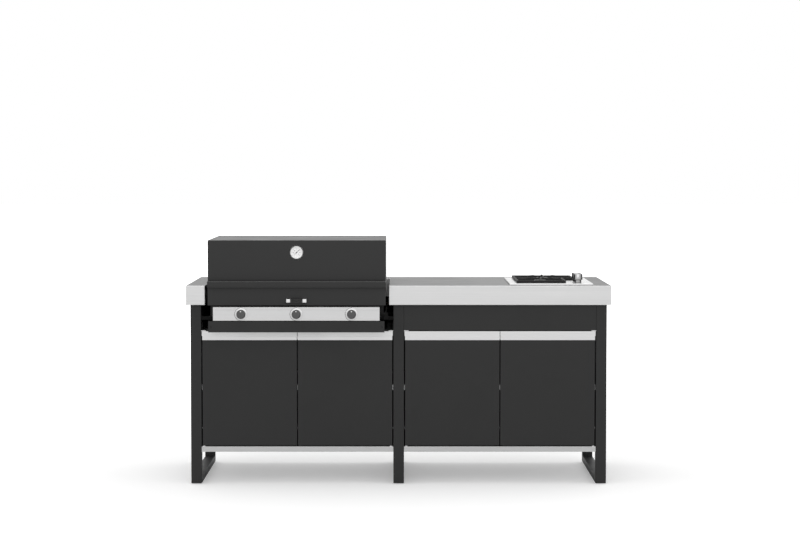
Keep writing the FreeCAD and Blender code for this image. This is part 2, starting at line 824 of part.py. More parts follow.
def door(number, sign, hinge):
    """One folded door with the block that takes its lower pivot pin."""
    origin = f"{sign} * bay_centre - half_bay + door_gap_side"
    if hinge == "right":
        origin = f"{sign} * bay_centre + door_gap_middle / 2"

    def from_hinge(text):
        return text if hinge == "left" else f"door_width - ({text})"

    body = new_body(f"door_{number}", (origin, "0", "door_base"))
    face = rectangle(sketch(body, f"door_{number}_face", "XZ"), ("0", "0"),
                     ("door_width", "door_height"))
    pad(body, face, "door_thickness", "+y", "XZ")
    finish_edges(body, "Fillet", "door_edge", lies_at("y", "Min"))
    cavity = [(from_hinge("pivot_block"), "door_sheet"),
              (from_hinge("door_width - door_sheet"), "door_sheet"),
              (from_hinge("door_width - door_sheet"), "door_height - door_sheet"),
              (from_hinge("door_sheet"), "door_height - door_sheet"),
              (from_hinge("door_sheet"), "2 * pivot_block"),
              (from_hinge("pivot_block"), "2 * pivot_block")]
    hollow = outline(sketch(body, f"door_{number}_cavity", "XZ", "-door_sheet"), cavity)
    pocket(body, hollow, "door_thickness", "+y", "XZ")
    bore = circle(sketch(body, f"door_{number}_bore", "XY"),
                  (from_hinge("pivot_inset"), "pivot_inset"), "pivot_bore")
    pocket(body, bore, "pivot_pin_reach + pivot_washer", "+z", "XY")
    keep(f"door_panel_{number}", body)

    strip = new_body(f"pull_{number}", (origin, "0", "door_top"))
    groove = "pull_groove_height + pull_groove_width"
    section = [("0", "0"), ("door_thickness", "0"), ("door_thickness", "pull_back_height"),
               ("door_thickness - pull_wall", "pull_back_height"),
               ("door_thickness - pull_wall", "pull_wall"), ("pull_wall", "pull_wall"),
               ("pull_wall", "pull_height"), ("0", "pull_height"), ("0", groove),
               ("pull_groove_depth", groove), ("pull_groove_depth", "pull_groove_height"),
               ("0", "pull_groove_height")]
    pad(strip, outline(sketch(strip, f"pull_{number}_section", "YZ"), section),
        "door_width", "+x", "YZ")
    lip = rectangle(sketch(strip, f"pull_{number}_lip", "XZ"),
                    (from_hinge("-pull_lip_hinge"), groove),
                    (from_hinge("door_width + pull_lip_middle"), "pull_height"))
    pad(strip, lip, "pull_wall", "+y", "XZ")
    boss = rectangle(sketch(strip, f"pull_{number}_boss", "XZ"),
                     (from_hinge("0"), groove),
                     (from_hinge("pivot_block"), "pull_height"))
    pad(strip, boss, "pivot_block", "+y", "XZ")
    root = rectangle(sketch(strip, f"pull_{number}_root", "XZ", "-pull_groove_depth"),
                     (from_hinge("0"), "0"), (from_hinge("pivot_block"), "pull_height"))
    pad(strip, root, "pivot_block - pull_groove_depth", "+y", "XZ")
    top_bore = circle(sketch(strip, f"pull_{number}_bore", "XY", "pull_height"),
                      (from_hinge("pivot_inset"), "pivot_inset"), "pivot_bore")
    pocket(strip, top_bore, "pivot_pin_reach + pivot_washer", "-z", "XY")
    keep(f"door_pull_{number}", strip)


def door_fittings():
    """Pivot plates and pins, the front angles they stand against, and the catches."""
    pivots = []
    angles = []
    catches = []
    for sign in ("-1", "1"):
        low_x = f"{sign} * bay_centre - half_bay"
        high_x = f"{sign} * bay_centre + half_bay"
        for edge, way in ((low_x, "1"), (high_x, "-1")):
            x = f"{edge} + {way} * (door_gap_side + pivot_inset)"
            plate_x = edge if way == "1" else f"{edge} - pivot_plate_width"
            plate = block("pivot_plate", (plate_x, "0", "plate_base"),
                          ("pivot_plate_width", "angle_front", "pivot_plate_thickness"))
            upper = prism("upper_pin", (x, "pivot_inset", "plate_base - pivot_pin_reach"),
                          "pivot_pin_diameter", "pivot_pin_reach + pivot_plate_thickness / 2")
            pivots.append(join("upper_pivot", plate, upper))
            washer = block("pivot_washer", (f"{x} - pivot_washer_width / 2",
                                            "pivot_inset - pivot_washer_width / 2", "floor_top"),
                           ("pivot_washer_width", "pivot_washer_width", "pivot_washer"))
            lower = prism("lower_pin", (x, "pivot_inset", "floor_top"),
                          "pivot_pin_diameter", "door_gap_bottom + pivot_pin_reach")
            pivots.append(join("lower_pivot", washer, lower))
        flange = block("angle_flange", (low_x, "angle_front", "plate_base"),
                       ("bay_width", "angle_leg", "angle_thickness"))
        web = block("angle_web", (low_x, "angle_front", "plate_top - angle_drop"),
                    ("bay_width", "angle_thickness", "angle_drop"))
        angles.append(join("front_angle", flange, web))
        catches.append(block("catch", (f"{sign} * bay_centre - catch_width / 2",
                                       "door_thickness + catch_gap", "door_top + pull_wall"),
                             ("catch_width", "angle_clearance - catch_gap", "catch_height")))
    keep("door_pivots", *pivots)
    keep("front_angles", *angles)
    keep("door_catches", *catches)


# Grill body

def firebox():
    """Open fire box with a grease slot, burner holes and two pairs of ledges."""
    body = new_body("firebox", ("grill_x", "firebox_front", "firebox_base"))
    depth = "firebox_rear - firebox_front"
    height = "firebox_top - firebox_base"
    plan = rectangle(sketch(body, "firebox_plan", "XY"), ("-firebox_half", "0"),
                     ("firebox_half", depth))
    pad(body, plan, height, "+z", "XY")
    cavity = rectangle(sketch(body, "firebox_cavity", "XY", "grill_sheet"),
                       ("-firebox_inside", "grill_sheet"),
                       ("firebox_inside", f"{depth} - grill_sheet"))
    pocket(body, cavity, height, "+z", "XY")
    ledges = sketch(body, "ledges", "YZ")
    for top in ("tamer_ledge_top", "grate_ledge_top"):
        level = f"{top} - firebox_base"
        rectangle(ledges, ("grill_sheet / 2", f"{level} - grill_sheet"),
                  ("ledge_depth", level))
        rectangle(ledges, (f"{depth} - ledge_depth", f"{level} - grill_sheet"),
                  (f"{depth} - grill_sheet / 2", level))
    pad(body, ledges, "2 * firebox_inside", "both", "YZ")
    middle = f"({depth}) / 2"
    slot = rectangle(sketch(body, "grease_slot", "XY"),
                     ("firebox_slot_margin - firebox_inside",
                      f"{middle} - firebox_slot_width / 2"),
                     ("firebox_inside - firebox_slot_margin",
                      f"{middle} + firebox_slot_width / 2"))
    pocket(body, slot, "4 * grill_sheet", "both", "XY")
    holes = sketch(body, "burner_holes", "XZ")
    for step in ("-1", "0", "1"):
        circle(holes, (f"{step} * knob_pitch", "burner_rise"), "burner_hole")
    pocket(body, holes, "4 * grill_sheet", "both", "XZ")
    keep("firebox", body)

    bearers = []
    for y in ("bearer_front", "firebox_rear - bearer_rear"):
        bearers.append(block("bearer", ("grill_x - half_bay", y, "firebox_base - bearer_height"),
                             ("bay_width", "bearer_width", "bearer_height")))
    keep("grill_bearers", *bearers)


def burners():
    """Three tube burners seated in both end walls, and the roofs over them."""
    tubes = []
    roofs = []
    length = "firebox_rear - firebox_front + burner_nose - grill_sheet - burner_seat_gap"
    for step in ("-1", "0", "1"):
        x = f"grill_x + {step} * knob_pitch"
        start = (x, "firebox_front - burner_nose", "burner_axis")
        skin = prism("burner_skin", start, "burner_diameter", length, "+y", ROUND_SIDES)
        bore = prism("burner_bore", start, "burner_diameter - 2 * burner_wall",
                     f"{length} - burner_wall", "+y", ROUND_SIDES)
        tubes.append(cut("burner", skin, bore))
        run = "firebox_rear - firebox_front - 2 * grill_sheet - 2 * tamer_end_gap"
        roof = new_body("tamer", (x, "firebox_front + grill_sheet + tamer_end_gap",
                                  "tamer_ledge_top + lift_gap"))
        section = [("-tamer_width / 2", "0"), ("tamer_sheet - tamer_width / 2", "0"),
                   ("0", "tamer_height - tamer_sheet"), ("tamer_width / 2 - tamer_sheet", "0"),
                   ("tamer_width / 2", "0"), ("0", "tamer_height")]
        pad(roof, outline(sketch(roof, "tamer_section", "XZ"), section), run, "+y", "XZ")
        roofs.append(roof)
    keep("burner_tubes", *tubes)
    keep("flame_tamers", *roofs)


def cooking_grate(label, x):
    """A cast grate: two end bars and a row of tapered bars."""
    run = "firebox_rear - firebox_front - 2 * grill_sheet - 2 * grate_gap"
    body = new_body(label, (x, "firebox_front + grill_sheet + grate_gap",
                            "grate_ledge_top + lift_gap"))
    ends = sketch(body, label + "_ends", "YZ")
    rectangle(ends, ("0", "0"), ("grate_end_bar", "grate_end_height"))
    rectangle(ends, (f"{run} - grate_end_bar", "0"), (run, "grate_end_height"))
    first_end = pad(body, ends, "grate_width", "+x", "YZ")
    bar = [("0", "0"), ("grate_bar", "0"),
           ("(grate_bar + grate_bar_top) / 2", "grate_height"),
           ("(grate_bar - grate_bar_top) / 2", "grate_height")]
    first = pad(body, outline(sketch(body, label + "_bar", "XZ"), bar), run, "+y", "XZ")
    row_of(body, first, "X", "grate_width - grate_bar",
           "floor((grate_width - grate_bar) / grate_pitch) + 1")
    keep(label, body)
    return first_end


# Lid

def lid():
    """Hood, projecting rim and the front band that carries the handle."""
    hood = new_body("hood", ("grill_x", "-hood_proud", "hood_base"))
    plan = rectangle(sketch(hood, "hood_plan", "XY"), ("-lid_width / 2", "0"),
                     ("lid_width / 2", "hood_depth"))
    pad(hood, plan, "hood_top - hood_base", "+z", "XY")

    def outer_edges(edge, whole):
        return not lies_at("z", "Min")(edge, whole)

    finish_edges(hood, "Chamfer", "hood_corner", outer_edges)
    inside = rectangle(sketch(hood, "hood_inside", "XY"),
                       ("grill_sheet - lid_width / 2", "grill_sheet"),
                       ("lid_width / 2 - grill_sheet", "hood_depth - grill_sheet"))
    pocket(hood, inside, "hood_top - hood_base - grill_sheet", "+z", "XY")
    hole = circle(sketch(hood, "probe_hole", "XZ"), ("0", "dial_rise"),
                  "probe_diameter / 2 + burner_seat_gap")
    pocket(hood, hole, "4 * grill_sheet", "both", "XZ")
    keep("lid_hood", hood)

    rim = new_body("rim", ("grill_x", "rim_front", "rim_base"))
    depth = "hood_depth + rim_proud"
    height = "hood_base - rim_base"
    rim_plan = rectangle(sketch(rim, "rim_plan", "XY"), ("-lid_width / 2", "0"),
                         ("lid_width / 2", depth))
    pad(rim, rim_plan, height, "+z", "XY")

    def front_top(edge, whole):
        return lies_at("z", "Max")(edge, whole) and lies_at("y", "Min")(edge, whole)

    finish_edges(rim, "Chamfer", "rim_edge", front_top)
    rim_hollow = rectangle(sketch(rim, "rim_hollow", "XY"),
                           ("grill_sheet - lid_width / 2", "grill_sheet"),
                           ("lid_width / 2 - grill_sheet", f"{depth} - grill_sheet"))
    pocket(rim, rim_hollow, f"{height} - grill_sheet", "+z", "XY")
    rim_mouth = rectangle(sketch(rim, "rim_mouth", "XY"),
                          ("grill_sheet - lid_width / 2", "rim_proud + grill_sheet"),
                          ("lid_width / 2 - grill_sheet", f"{depth} - grill_sheet"))
    pocket(rim, rim_mouth, f"{height} + grill_sheet", "+z", "XY")
    keep("lid_rim", rim)

    band = new_body("band", ("grill_x", "0", "0"))
    back = "band_front + grill_sheet"
    section = [("rim_front", "rim_base - grill_sheet"), ("band_front", "rim_base - grill_sheet"),
               ("band_front", "band_base"), ("band_front + band_hem", "band_base"),
               ("band_front + band_hem", "band_base + grill_sheet"),
               (back, "band_base + grill_sheet"), (back, "rim_base"), ("rim_front", "rim_base")]
    pad(band, outline(sketch(band, "band_section", "YZ"), section), "lid_width", "both", "YZ")
    keep("lid_front_band", band)


def handle():
    """Two end posts on the band and the grip held between them."""
    posts = []
    base = "band_base + handle_rise"
    for x in ("-handle_width / 2", "handle_width / 2 - handle_post"):
        body = new_body("handle_post", (f"grill_x + {x}", "band_front - handle_reach", base))
        plan = rectangle(sketch(body, "post_plan", "XY"), ("0", "0"),
                         ("handle_post", "handle_reach"))
        pad(body, plan, "handle_height", "+z", "XY")

        def front_ring(edge, whole):
            return lies_at("y", "Min")(edge, whole)

        finish_edges(body, "Fillet", "handle_round", front_ring)
        posts.append(body)
    keep("lid_handle_posts", *posts)
    grip = new_body("handle_grip", ("grill_x", "band_front - handle_reach + grip_setback",
                                    f"{base} + (handle_height - handle_grip_height) / 2"))
    section = rectangle(sketch(grip, "grip_section", "YZ"), ("0", "0"),
                        ("handle_grip_depth", "handle_grip_height"))
    pad(grip, section, "handle_width - 2 * handle_post", "both", "YZ")
    finish_edges(grip, "Fillet", "handle_round", runs_along("x"))
    keep("lid_handle_grip", grip)


def lid_hinges():
    """Fixed brackets with their pins on the worktop, and the arms on the hood."""
    brackets = []
    arms = []
    reach = "hinge_ear + hinge_ear_gap"
    for way in ("-1", "1"):
        middle = f"grill_x + {way} * hinge_spacing / 2"
        ear_x = f"{middle} + hinge_ear_gap / 2" if way == "1" else (
            f"{middle} - hinge_ear_gap / 2 - hinge_ear")
        arm_x = f"{middle} - hinge_ear_gap / 2 - hinge_ear" if way == "1" else (
            f"{middle} + hinge_ear_gap / 2")
        foot = block("hinge_foot", (f"{middle} - hinge_foot_width / 2",
                                    "cutout_rear + worktop_sheet", "worktop_top"),
                     ("hinge_foot_width", "hinge_foot_length", "hinge_foot_height"))
        ear_run = "cutout_rear + worktop_sheet + hinge_foot_length / 2 - hinge_y"
        ear = block("hinge_ear", (ear_x, "hinge_y", "worktop_top + hinge_foot_height / 2"),
                    ("hinge_ear", ear_run,
                     "hinge_z + hinge_ear_radius - worktop_top - hinge_foot_height / 2"))
        nose = prism("hinge_nose", (ear_x, "hinge_y", "hinge_z"),
                     "2 * hinge_ear_radius", "hinge_ear", "+x", ROUND_SIDES)
        pin_x = ear_x if way == "-1" else f"{ear_x} - ({reach})"
        pin = prism("hinge_pin", (pin_x, "hinge_y", "hinge_z"), "hinge_pin_diameter",
                    f"hinge_ear + {reach}", "+x")
        brackets.append(join("hinge_bracket", foot, ear, nose, pin))
        arm_nose = prism("arm_nose", (arm_x, "hinge_y", "hinge_z"),
                         "2 * hinge_ear_radius", "hinge_ear", "+x", ROUND_SIDES)
        arm_web = block("arm_web", (arm_x, "hood_rear", "hinge_z - hinge_ear_radius"),
                        ("hinge_ear", "hinge_back", "2 * hinge_ear_radius"))
        arm_eye = rod("arm_eye", (arm_x, "hinge_y", "hinge_z"),
                      "hinge_pin_diameter + 2 * hinge_running_gap", "hinge_ear", "+x")
        arms.append(cut("hinge_arm", join("arm", arm_nose, arm_web), arm_eye))
    keep("lid_hinge_brackets", *brackets)
    keep("lid_hinge_arms", *arms)


def thermometer():
    """Round case on the hood with dial, glass, probe and a pointer on its post."""
    at = ("grill_x", "-hood_proud", "dial_z")
    outer = "dial_case_diameter / 2"
    inner = "dial_case_diameter / 2 - dial_rim"
    wall = many_sided("case_wall", at, outer, "0", "dial_case_depth - dial_rim / 2", "-y")
    lip = many_sided("case_lip", at, f"{outer} - dial_rim / 2",
                     "dial_case_depth - dial_rim / 2", "dial_case_depth", "-y")
    well = many_sided("case_well", at, inner, "dial_plate", "2 * dial_case_depth", "-y")
    case = cut("dial_case", join("case_body", wall, lip), well)
    probe = turned("probe", at, [
        ("0", "0"), ("probe_diameter / 2", "0"),
        ("probe_diameter / 2", "probe_length - probe_diameter / 2"), ("0", "probe_length")], "+y")
    keep("thermometer_case", case, probe)
    plate_top = "2 * dial_plate"
    post = many_sided("dial_post", at, "needle_post", "dial_plate",
                      f"{plate_top} + 3 * needle_thickness", "-y", PIPE_SIDES)
    disc = many_sided("dial_disc", at, f"{inner} - dial_fit", "dial_plate", plate_top, "-y")
    dial = join("dial", disc, post)
    keep("thermometer_dial", dial)
    glass_top = "dial_case_depth - dial_rim / 2"
    glass = many_sided("dial_glass", at, f"{inner} - dial_fit",
                       f"{glass_top} - dial_glass", glass_top, "-y")
    keep("thermometer_glass", glass)
    needle = new_body("needle", at, "-y")
    tip = f"{DIAGONAL} * needle_length"
    tail = f"-{DIAGONAL} * needle_tail"
    side = f"{DIAGONAL} * needle_thickness / 2"
    head = f"{DIAGONAL} * (needle_length - needle_head)"
    wing = f"{DIAGONAL} * needle_head / 3"
    shape = [(f"{tail} + {side}", f"{tail} - {side}"), (f"{head} + {side}", f"{head} - {side}"),
             (f"{head} + {wing}", f"{head} - {wing}"), (tip, tip),
             (f"{head} - {wing}", f"{head} + {wing}"), (f"{head} - {side}", f"{head} + {side}"),
             (f"{tail} - {side}", f"{tail} + {side}")]
    level = f"{plate_top} + needle_thickness"
    pad(needle, outline(sketch(needle, "needle_shape", "XY", level), shape),
        "needle_thickness", "+z", "XY")
    hub = outline(sketch(needle, "needle_hub", "XY", level), hexagon("needle_hub"))
    pad(needle, hub, "needle_thickness", "+z", "XY")
    eye = circle(sketch(needle, "needle_eye", "XY"), ("0", "0"), "needle_post + stem_running_gap")
    pocket(needle, eye, "4 * dial_case_depth", "both", "XY")
    keep("thermometer_needle", needle)


# Control panel, knobs and gas parts

def control_panel():
    """Folded stainless panel in front of the fire box, with three stem holes."""
    body = new_body("panel_body", ("grill_x", "0", "control_base"))
    depth = "firebox_front"
    inner = "control_front + panel_sheet"
    top = "control_height - panel_sheet"
    section = [("control_front", "0"), (depth, "0"), (depth, "panel_sheet"),
               (inner, "panel_sheet"), (inner, top), (depth, top), (depth, "control_height"),
               ("control_front", "control_height")]
    pad(body, outline(sketch(body, "control_section", "YZ"), section), "control_width",
        "both", "YZ")
    holes = [prism("stem_hole", (f"grill_x + {step} * knob_pitch",
                                 "control_front - panel_sheet", "knob_axis"),
                   "stem_hole", "3 * panel_sheet", "+y") for step in ("-1", "0", "1")]
    keep("control_panel", cut("panel", body, join("stem_holes", *holes)))

    bezels = []
    for step in ("-1", "0", "1"):
        at = (f"grill_x + {step} * knob_pitch", "control_front", "knob_axis")
        ring = many_sided("bezel_ring", at, "bezel_diameter / 2", "0", "bezel_thickness", "-y")
        bore = many_sided("bezel_opening", at, "bezel_bore / 2", "-bezel_thickness",
                          "2 * bezel_thickness", "-y")
        bezels.append(cut("bezel", ring, bore))
    keep("knob_bezels", *bezels)


def grill_knob(label, step):
    """A gas knob with its stem, skirt and ribbed grip, and a raised mark at off."""
    reach = "control_proud + valve_front + stem_reach"
    at = (f"grill_x + {step} * knob_pitch", "control_front", "knob_axis")
    top = "knob_lift + knob_height - knob_mark_rise"
    stem = many_sided("knob_stem", at, "stem_diameter / 2", f"-({reach})",
                      "knob_lift + knob_skirt", "-y", PIPE_SIDES)
    skirt = many_sided("knob_skirt", at, "knob_base_diameter / 2", "knob_lift",
                       "knob_lift + knob_skirt", "-y")
    grip = ribbed("knob_grip", at, "knob_face_diameter / 2", "knob_lift + knob_skirt", top, "-y")
    mark = block("knob_mark", (f"{at[0]} - knob_mark / 2",
                               "control_front - knob_lift - knob_height",
                               "knob_axis + knob_mark_radius - knob_mark / 2"),
                 ("knob_mark", "knob_height / 2", "knob_mark"))
    keep(label, join("grill_knob", stem, skirt, *grip, mark))


def hexagon(half):
    """Corners of a hexagon by half its width across flats."""
    flat = f"({half}) * 0.57735"
    tip = f"({half}) * 1.1547"
    return [(tip, "0"), (flat, half), (f"-{flat}", half), (f"-{tip}", "0"),
            (f"-{flat}", f"-({half})"), (flat, f"-({half})")]


def gas_parts():
    """Manifold, valves with necks and nozzles, pipes and the two inlets."""
    manifold = rod("manifold", ("grill_x - manifold_length / 2", "manifold_y", "manifold_z"),
                   "manifold_diameter", "manifold_length", "+x")
    keep("gas_manifold", manifold)
    valves = []
    for step in ("-1", "0", "1"):
        x = f"grill_x + {step} * knob_pitch"
        core = block("valve_core", (f"{x} - valve_width / 2", "valve_front", "valve_base"),
                     ("valve_width", "valve_length", "valve_height"))
        neck = block("valve_neck", (f"{x} - valve_neck_width / 2", "valve_front - valve_neck",
                                    "knob_axis - valve_neck_width / 2"),
                     ("valve_neck_width", "valve_neck + valve_length / 2", "valve_neck_width"))
        nozzle = prism("valve_nozzle", (x, "valve_rear - nozzle_length / 8", "burner_axis"),
                       "nozzle_diameter", "nozzle_length", "+y")
        stem = rod("stem_bore", (x, "valve_front - 2 * valve_neck", "knob_axis"),
                   "stem_diameter + 2 * stem_running_gap",
                   "2 * valve_neck + stem_reach + stem_running_gap", "+y")
        valves.append(cut("valve", join("valve_body", core, neck, nozzle), stem))
    keep("gas_valves", *valves)

    left_x = "-(tube_width / 2 + gas_pipe_side)"
    right_x = "frame_pitch - tube_width / 2 - gas_pipe_side"
    inlets = []
    for x, z in ((left_x, "gas_inlet_height"), (right_x, "hob_pipe_height")):
        barrel = rod("inlet", (x, "frame_depth - gas_inlet_length", z),
                     "gas_inlet_diameter", "gas_inlet_length", "+y")
        nut = new_body("inlet_nut", (x, "frame_depth - back_panel_inset", z))
        pad(nut, outline(sketch(nut, "nut_outline", "XZ"), hexagon("gas_nut_width / 2")),
            "gas_nut_thickness", "+y", "XZ")
        inlets.append(join("gas_inlet", barrel, nut))
    keep("gas_inlets", *inlets)


def pipe_run(stem, start, end):
    """A straight gas pipe between the middles of two fittings, along one axis."""
    axis = next(index for index in range(3) if start[index] != end[index])
    facing = ("+x", "+y", "+z")[axis]
    length = f"({end[axis]}) - ({start[axis]})"
    return prism(stem, start, "gas_pipe_diameter", length, facing)


def elbow(stem, middle):
    """A square elbow fitting round the meeting point of two pipe runs."""
    corner = [f"({text}) - gas_elbow / 2" for text in middle]
    return block(stem, corner, ("gas_elbow", "gas_elbow", "gas_elbow"))


def gas_pipes():
    """The grill's pipe from its inlet to the manifold, and the hob's to its rail."""
    inlet_y = "frame_depth - gas_inlet_length"
    left_x = "-(tube_width / 2 + gas_pipe_side)"
    start = (left_x, "manifold_y", "gas_inlet_height")
    low = (left_x, "manifold_y", "manifold_z")
    runs = [pipe_run("grill_pipe", start, (left_x, inlet_y, "gas_inlet_height")),
            pipe_run("grill_pipe_end", ("grill_x + manifold_length / 2", "manifold_y",
                                        "manifold_z"), low),
            elbow("grill_elbow", start), elbow("grill_elbow", low)]
    left = join("grill_gas_pipe", *runs)
    right_x = "frame_pitch - tube_width / 2 - gas_pipe_side"
    rail_y = "hob_knob_front_y + hob_knob_spacing / 2"
    corner = (right_x, rail_y, "hob_pipe_height")
    under = ("hob_knob_x", rail_y, "hob_pipe_height")
    runs = [pipe_run("hob_pipe", corner, (right_x, inlet_y, "hob_pipe_height")),
            pipe_run("hob_pipe_cross", under, corner),
            pipe_run("hob_pipe_rise", under, ("hob_knob_x", rail_y, "hob_rail_base")),
            elbow("hob_elbow", corner), elbow("hob_elbow", under)]
    right = join("hob_gas_pipe", *runs)
    keep("gas_pipes", left, right)


# Drip tray

def drip_tray():
    """Sliding pan with its folded front, and the two runners that carry it."""
    front = pan("tray_front", ("grill_x - tray_front_width / 2", "control_front",
                               "tray_front_base"),
                ("tray_front_width", "tray_front_fold", "tray_front_height"),
                "panel_sheet", "+y")
    keep("drip_tray_front", front)
    tray = pan("tray", ("grill_x - tray_width / 2", "control_front + panel_sheet", "tray_base"),
               ("tray_width", "tray_length", "tray_height"), "tray_sheet", "+z")
    keep("drip_tray", tray)
    runners = []
    for way in ("-1", "1"):
        wall = f"grill_x + {way} * half_bay"
        shelf_x = wall if way == "-1" else f"{wall} - runner_width"
        web_x = wall if way == "-1" else f"{wall} - runner_thickness"
        start = "angle_front + tube_depth / 2"
        shelf = block("runner_shelf", (shelf_x, start, "runner_base"),
                      ("runner_width", "runner_length", "runner_thickness"))
        web = block("runner_web", (web_x, start, "runner_base"),
                    ("runner_thickness", "runner_length", "runner_height"))
        runners.append(join("runner", shelf, web))
    keep("tray_runners", *runners)


# Hob

def hob():
    """Pressed plate, burner heads, knobs, valves on their rail."""
    plate = new_body("plate_body", ("hob_x", "hob_front", "worktop_top"))
    plan = rectangle(sketch(plate, "plate_plan", "XY"), ("-hob_width / 2", "0"),
                     ("hob_width / 2", "hob_depth"))
    pad(plate, plan, "hob_rise", "+z", "XY")
    finish_edges(plate, "Chamfer", "hob_edge / 2", lies_at("z", "Max"))
    hollow = rectangle(sketch(plate, "plate_hollow", "XY"),
                       ("hob_edge - hob_width / 2", "hob_edge"),
                       ("hob_width / 2 - hob_edge", "hob_depth - hob_edge"))
    pocket(plate, hollow, "hob_rise - worktop_sheet", "+z", "XY")
    holes = []
    for x, y in (("burner_front_x", "burner_front_y"), ("burner_rear_x", "burner_rear_y")):
        holes.append(prism("neck_hole", (x, y, "hob_under - hob_rise"),
                           "hob_burner_neck + 2 * burner_seat_gap", "4 * hob_rise", "+z",
                           ROUND_SIDES))
    for y in ("hob_knob_front_y", "hob_knob_rear_y"):
        holes.append(prism("stem_hole", ("hob_knob_x", y, "hob_under - hob_rise"),
                           "stem_hole", "4 * hob_rise"))
    keep("hob_plate", cut("plate", plate, join("plate_holes", *holes)))

    heads = []
    for x, y in (("burner_front_x", "burner_front_y"), ("burner_rear_x", "burner_rear_y")):
        at = (x, y, "hob_top")
        neck = many_sided("burner_neck", at, "hob_burner_neck / 2", "-hob_neck_length", "0")
        crown = ribbed("burner_crown", at, "hob_burner_diameter / 2", "0", "hob_burner_height")
        foot = many_sided("cap_foot", at, "hob_cap_diameter / 2", "hob_burner_height",
                          "hob_burner_height + hob_cap_height / 2")
        top = many_sided("cap_top", at, "hob_cap_diameter / 2 - hob_cap_step",
                         "hob_burner_height + hob_cap_height / 2",
                         "hob_burner_height + hob_cap_height")
        heads += [join("burner_head", neck, *crown), join("burner_cap", foot, top)]
    keep("hob_burners", *heads)

    valves = []
    for y in ("hob_knob_front_y", "hob_knob_rear_y"):
        core = block("hob_valve_core", ("hob_knob_x - valve_width / 2", f"{y} - valve_width / 2",
                                        "hob_valve_base"),
                     ("valve_width", "valve_width", "valve_height"))
        bore = rod("hob_stem_bore", ("hob_knob_x", y, "hob_under - stem_reach - stem_running_gap"),
                   "stem_diameter + 2 * stem_running_gap", "2 * stem_reach")
        valves.append(cut("hob_valve", core, bore))
    rail_y = "hob_knob_front_y - hob_rail_overlap"
    valves.append(block("hob_rail", ("hob_knob_x - hob_rail_width / 2", rail_y, "hob_rail_base"),
                        ("hob_rail_width", "hob_knob_spacing + 2 * hob_rail_overlap",
                         "hob_rail_height")))
    keep("hob_valves", *valves)


def hob_knob(label, y):
    """A tall waisted steel knob with its stem and a pointer nib on its top."""
    reach = "hob_rise / 4 + stem_reach"
    at = ("hob_knob_x", y, "hob_top")
    stem = many_sided("knob_stem", at, "stem_diameter / 2", f"-({reach})",
                      "hob_knob_shoulder", "+z", PIPE_SIDES)
    neck = many_sided("knob_neck", at, "hob_knob_neck / 2", "knob_lift / 2", "hob_knob_shoulder")
    grip = many_sided("knob_top", at, "hob_knob_diameter / 2", "hob_knob_shoulder",
                      "hob_knob_height - knob_mark_rise")
    nib = block("knob_nib", ("hob_knob_x - knob_mark / 2", f"{y} - hob_knob_nib_start",
                             "hob_top + hob_knob_height - knob_mark"),
                ("knob_mark", "hob_knob_nib_start - hob_knob_nib_end", "knob_mark"))
    keep(label, join("hob_knob", stem, neck, grip, nib))


def pan_support(label, y, width, depth):
    """A cast ring with four fingers that rise towards the pan."""
    body = new_body(label, ("support_left_x", y, "support_base"))
    plan = sketch(body, label + "_plan", "XY")
    rectangle(plan, ("0", "0"), (width, depth))
    rectangle(plan, ("support_bar", "support_bar"),
              (f"{width} - support_bar", f"{depth} - support_bar"))
    pad(body, plan, "support_height", "+z", "XY")
    finish_edges(body, "Chamfer", "support_bar / 8", lies_at("z", "Max"))
    middle = (f"{width} / 2", f"{depth} / 2")
    half = "support_bar / 2 - support_bar / 8"
    tall = "support_height + support_finger_rise"
    foot = "support_foot"
    short = "support_bar / 2"
    along = [(short, foot), (f"{middle[0]} - support_finger_gap", foot),
             (f"{middle[0]} - support_finger_gap", tall),
             (f"{middle[0]} - support_finger_gap - support_bar", tall),
             (f"{short} + support_bar", "support_height"), (short, "support_height")]
    across = [(short, foot), (f"{middle[1]} - support_finger_gap", foot),
              (f"{middle[1]} - support_finger_gap", tall),
              (f"{middle[1]} - support_finger_gap - support_bar", tall),
              (f"{short} + support_bar", "support_height"), (short, "support_height")]
    for flip in (False, True):
        run = [(f"{width} - ({x})" if flip else x, z) for x, z in along]
        level = f"-({middle[1]} - ({half}))"
        pad(body, outline(sketch(body, label + "_finger", "XZ", level), run),
            f"2 * ({half})", "+y", "XZ")
        run = [(f"{depth} - ({x})" if flip else x, z) for x, z in across]
        level = f"{middle[0]} - ({half})"
        pad(body, outline(sketch(body, label + "_finger", "YZ", level), run),
            f"2 * ({half})", "+x", "YZ")
    keep(label, body)


# Build, check and write

def build():
    """Make every piece of the island."""
    frames()
    worktop()
    cabinets()
    back_panels()
    number = 1
    for sign in ("-1", "1"):
        for hinge in ("left", "right"):
            door(number, sign, hinge)
            number += 1
    door_fittings()
    firebox()
    burners()
    cooking_grate("cooking_grate_left", "grill_x - grate_gap / 2 - grate_width")
    cooking_grate("cooking_grate_right", "grill_x + grate_gap / 2")
    lid()
    handle()
    lid_hinges()
    thermometer()
    control_panel()
    for label, step in (("grill_knob_left", "-1"), ("grill_knob_middle", "0"),
                        ("grill_knob_right", "1")):
        grill_knob(label, step)
    gas_parts()
    gas_pipes()
    drip_tray()
    hob()
    hob_knob("hob_knob_front", "hob_knob_front_y")
    hob_knob("hob_knob_rear", "hob_knob_rear_y")
    pan_support("pan_support_front", "support_front_y", "support_front_width",
                "support_front_depth")
    pan_support("pan_support_rear", "support_rear_y", "support_rear_width",
                "support_rear_depth")
    doc.recompute()


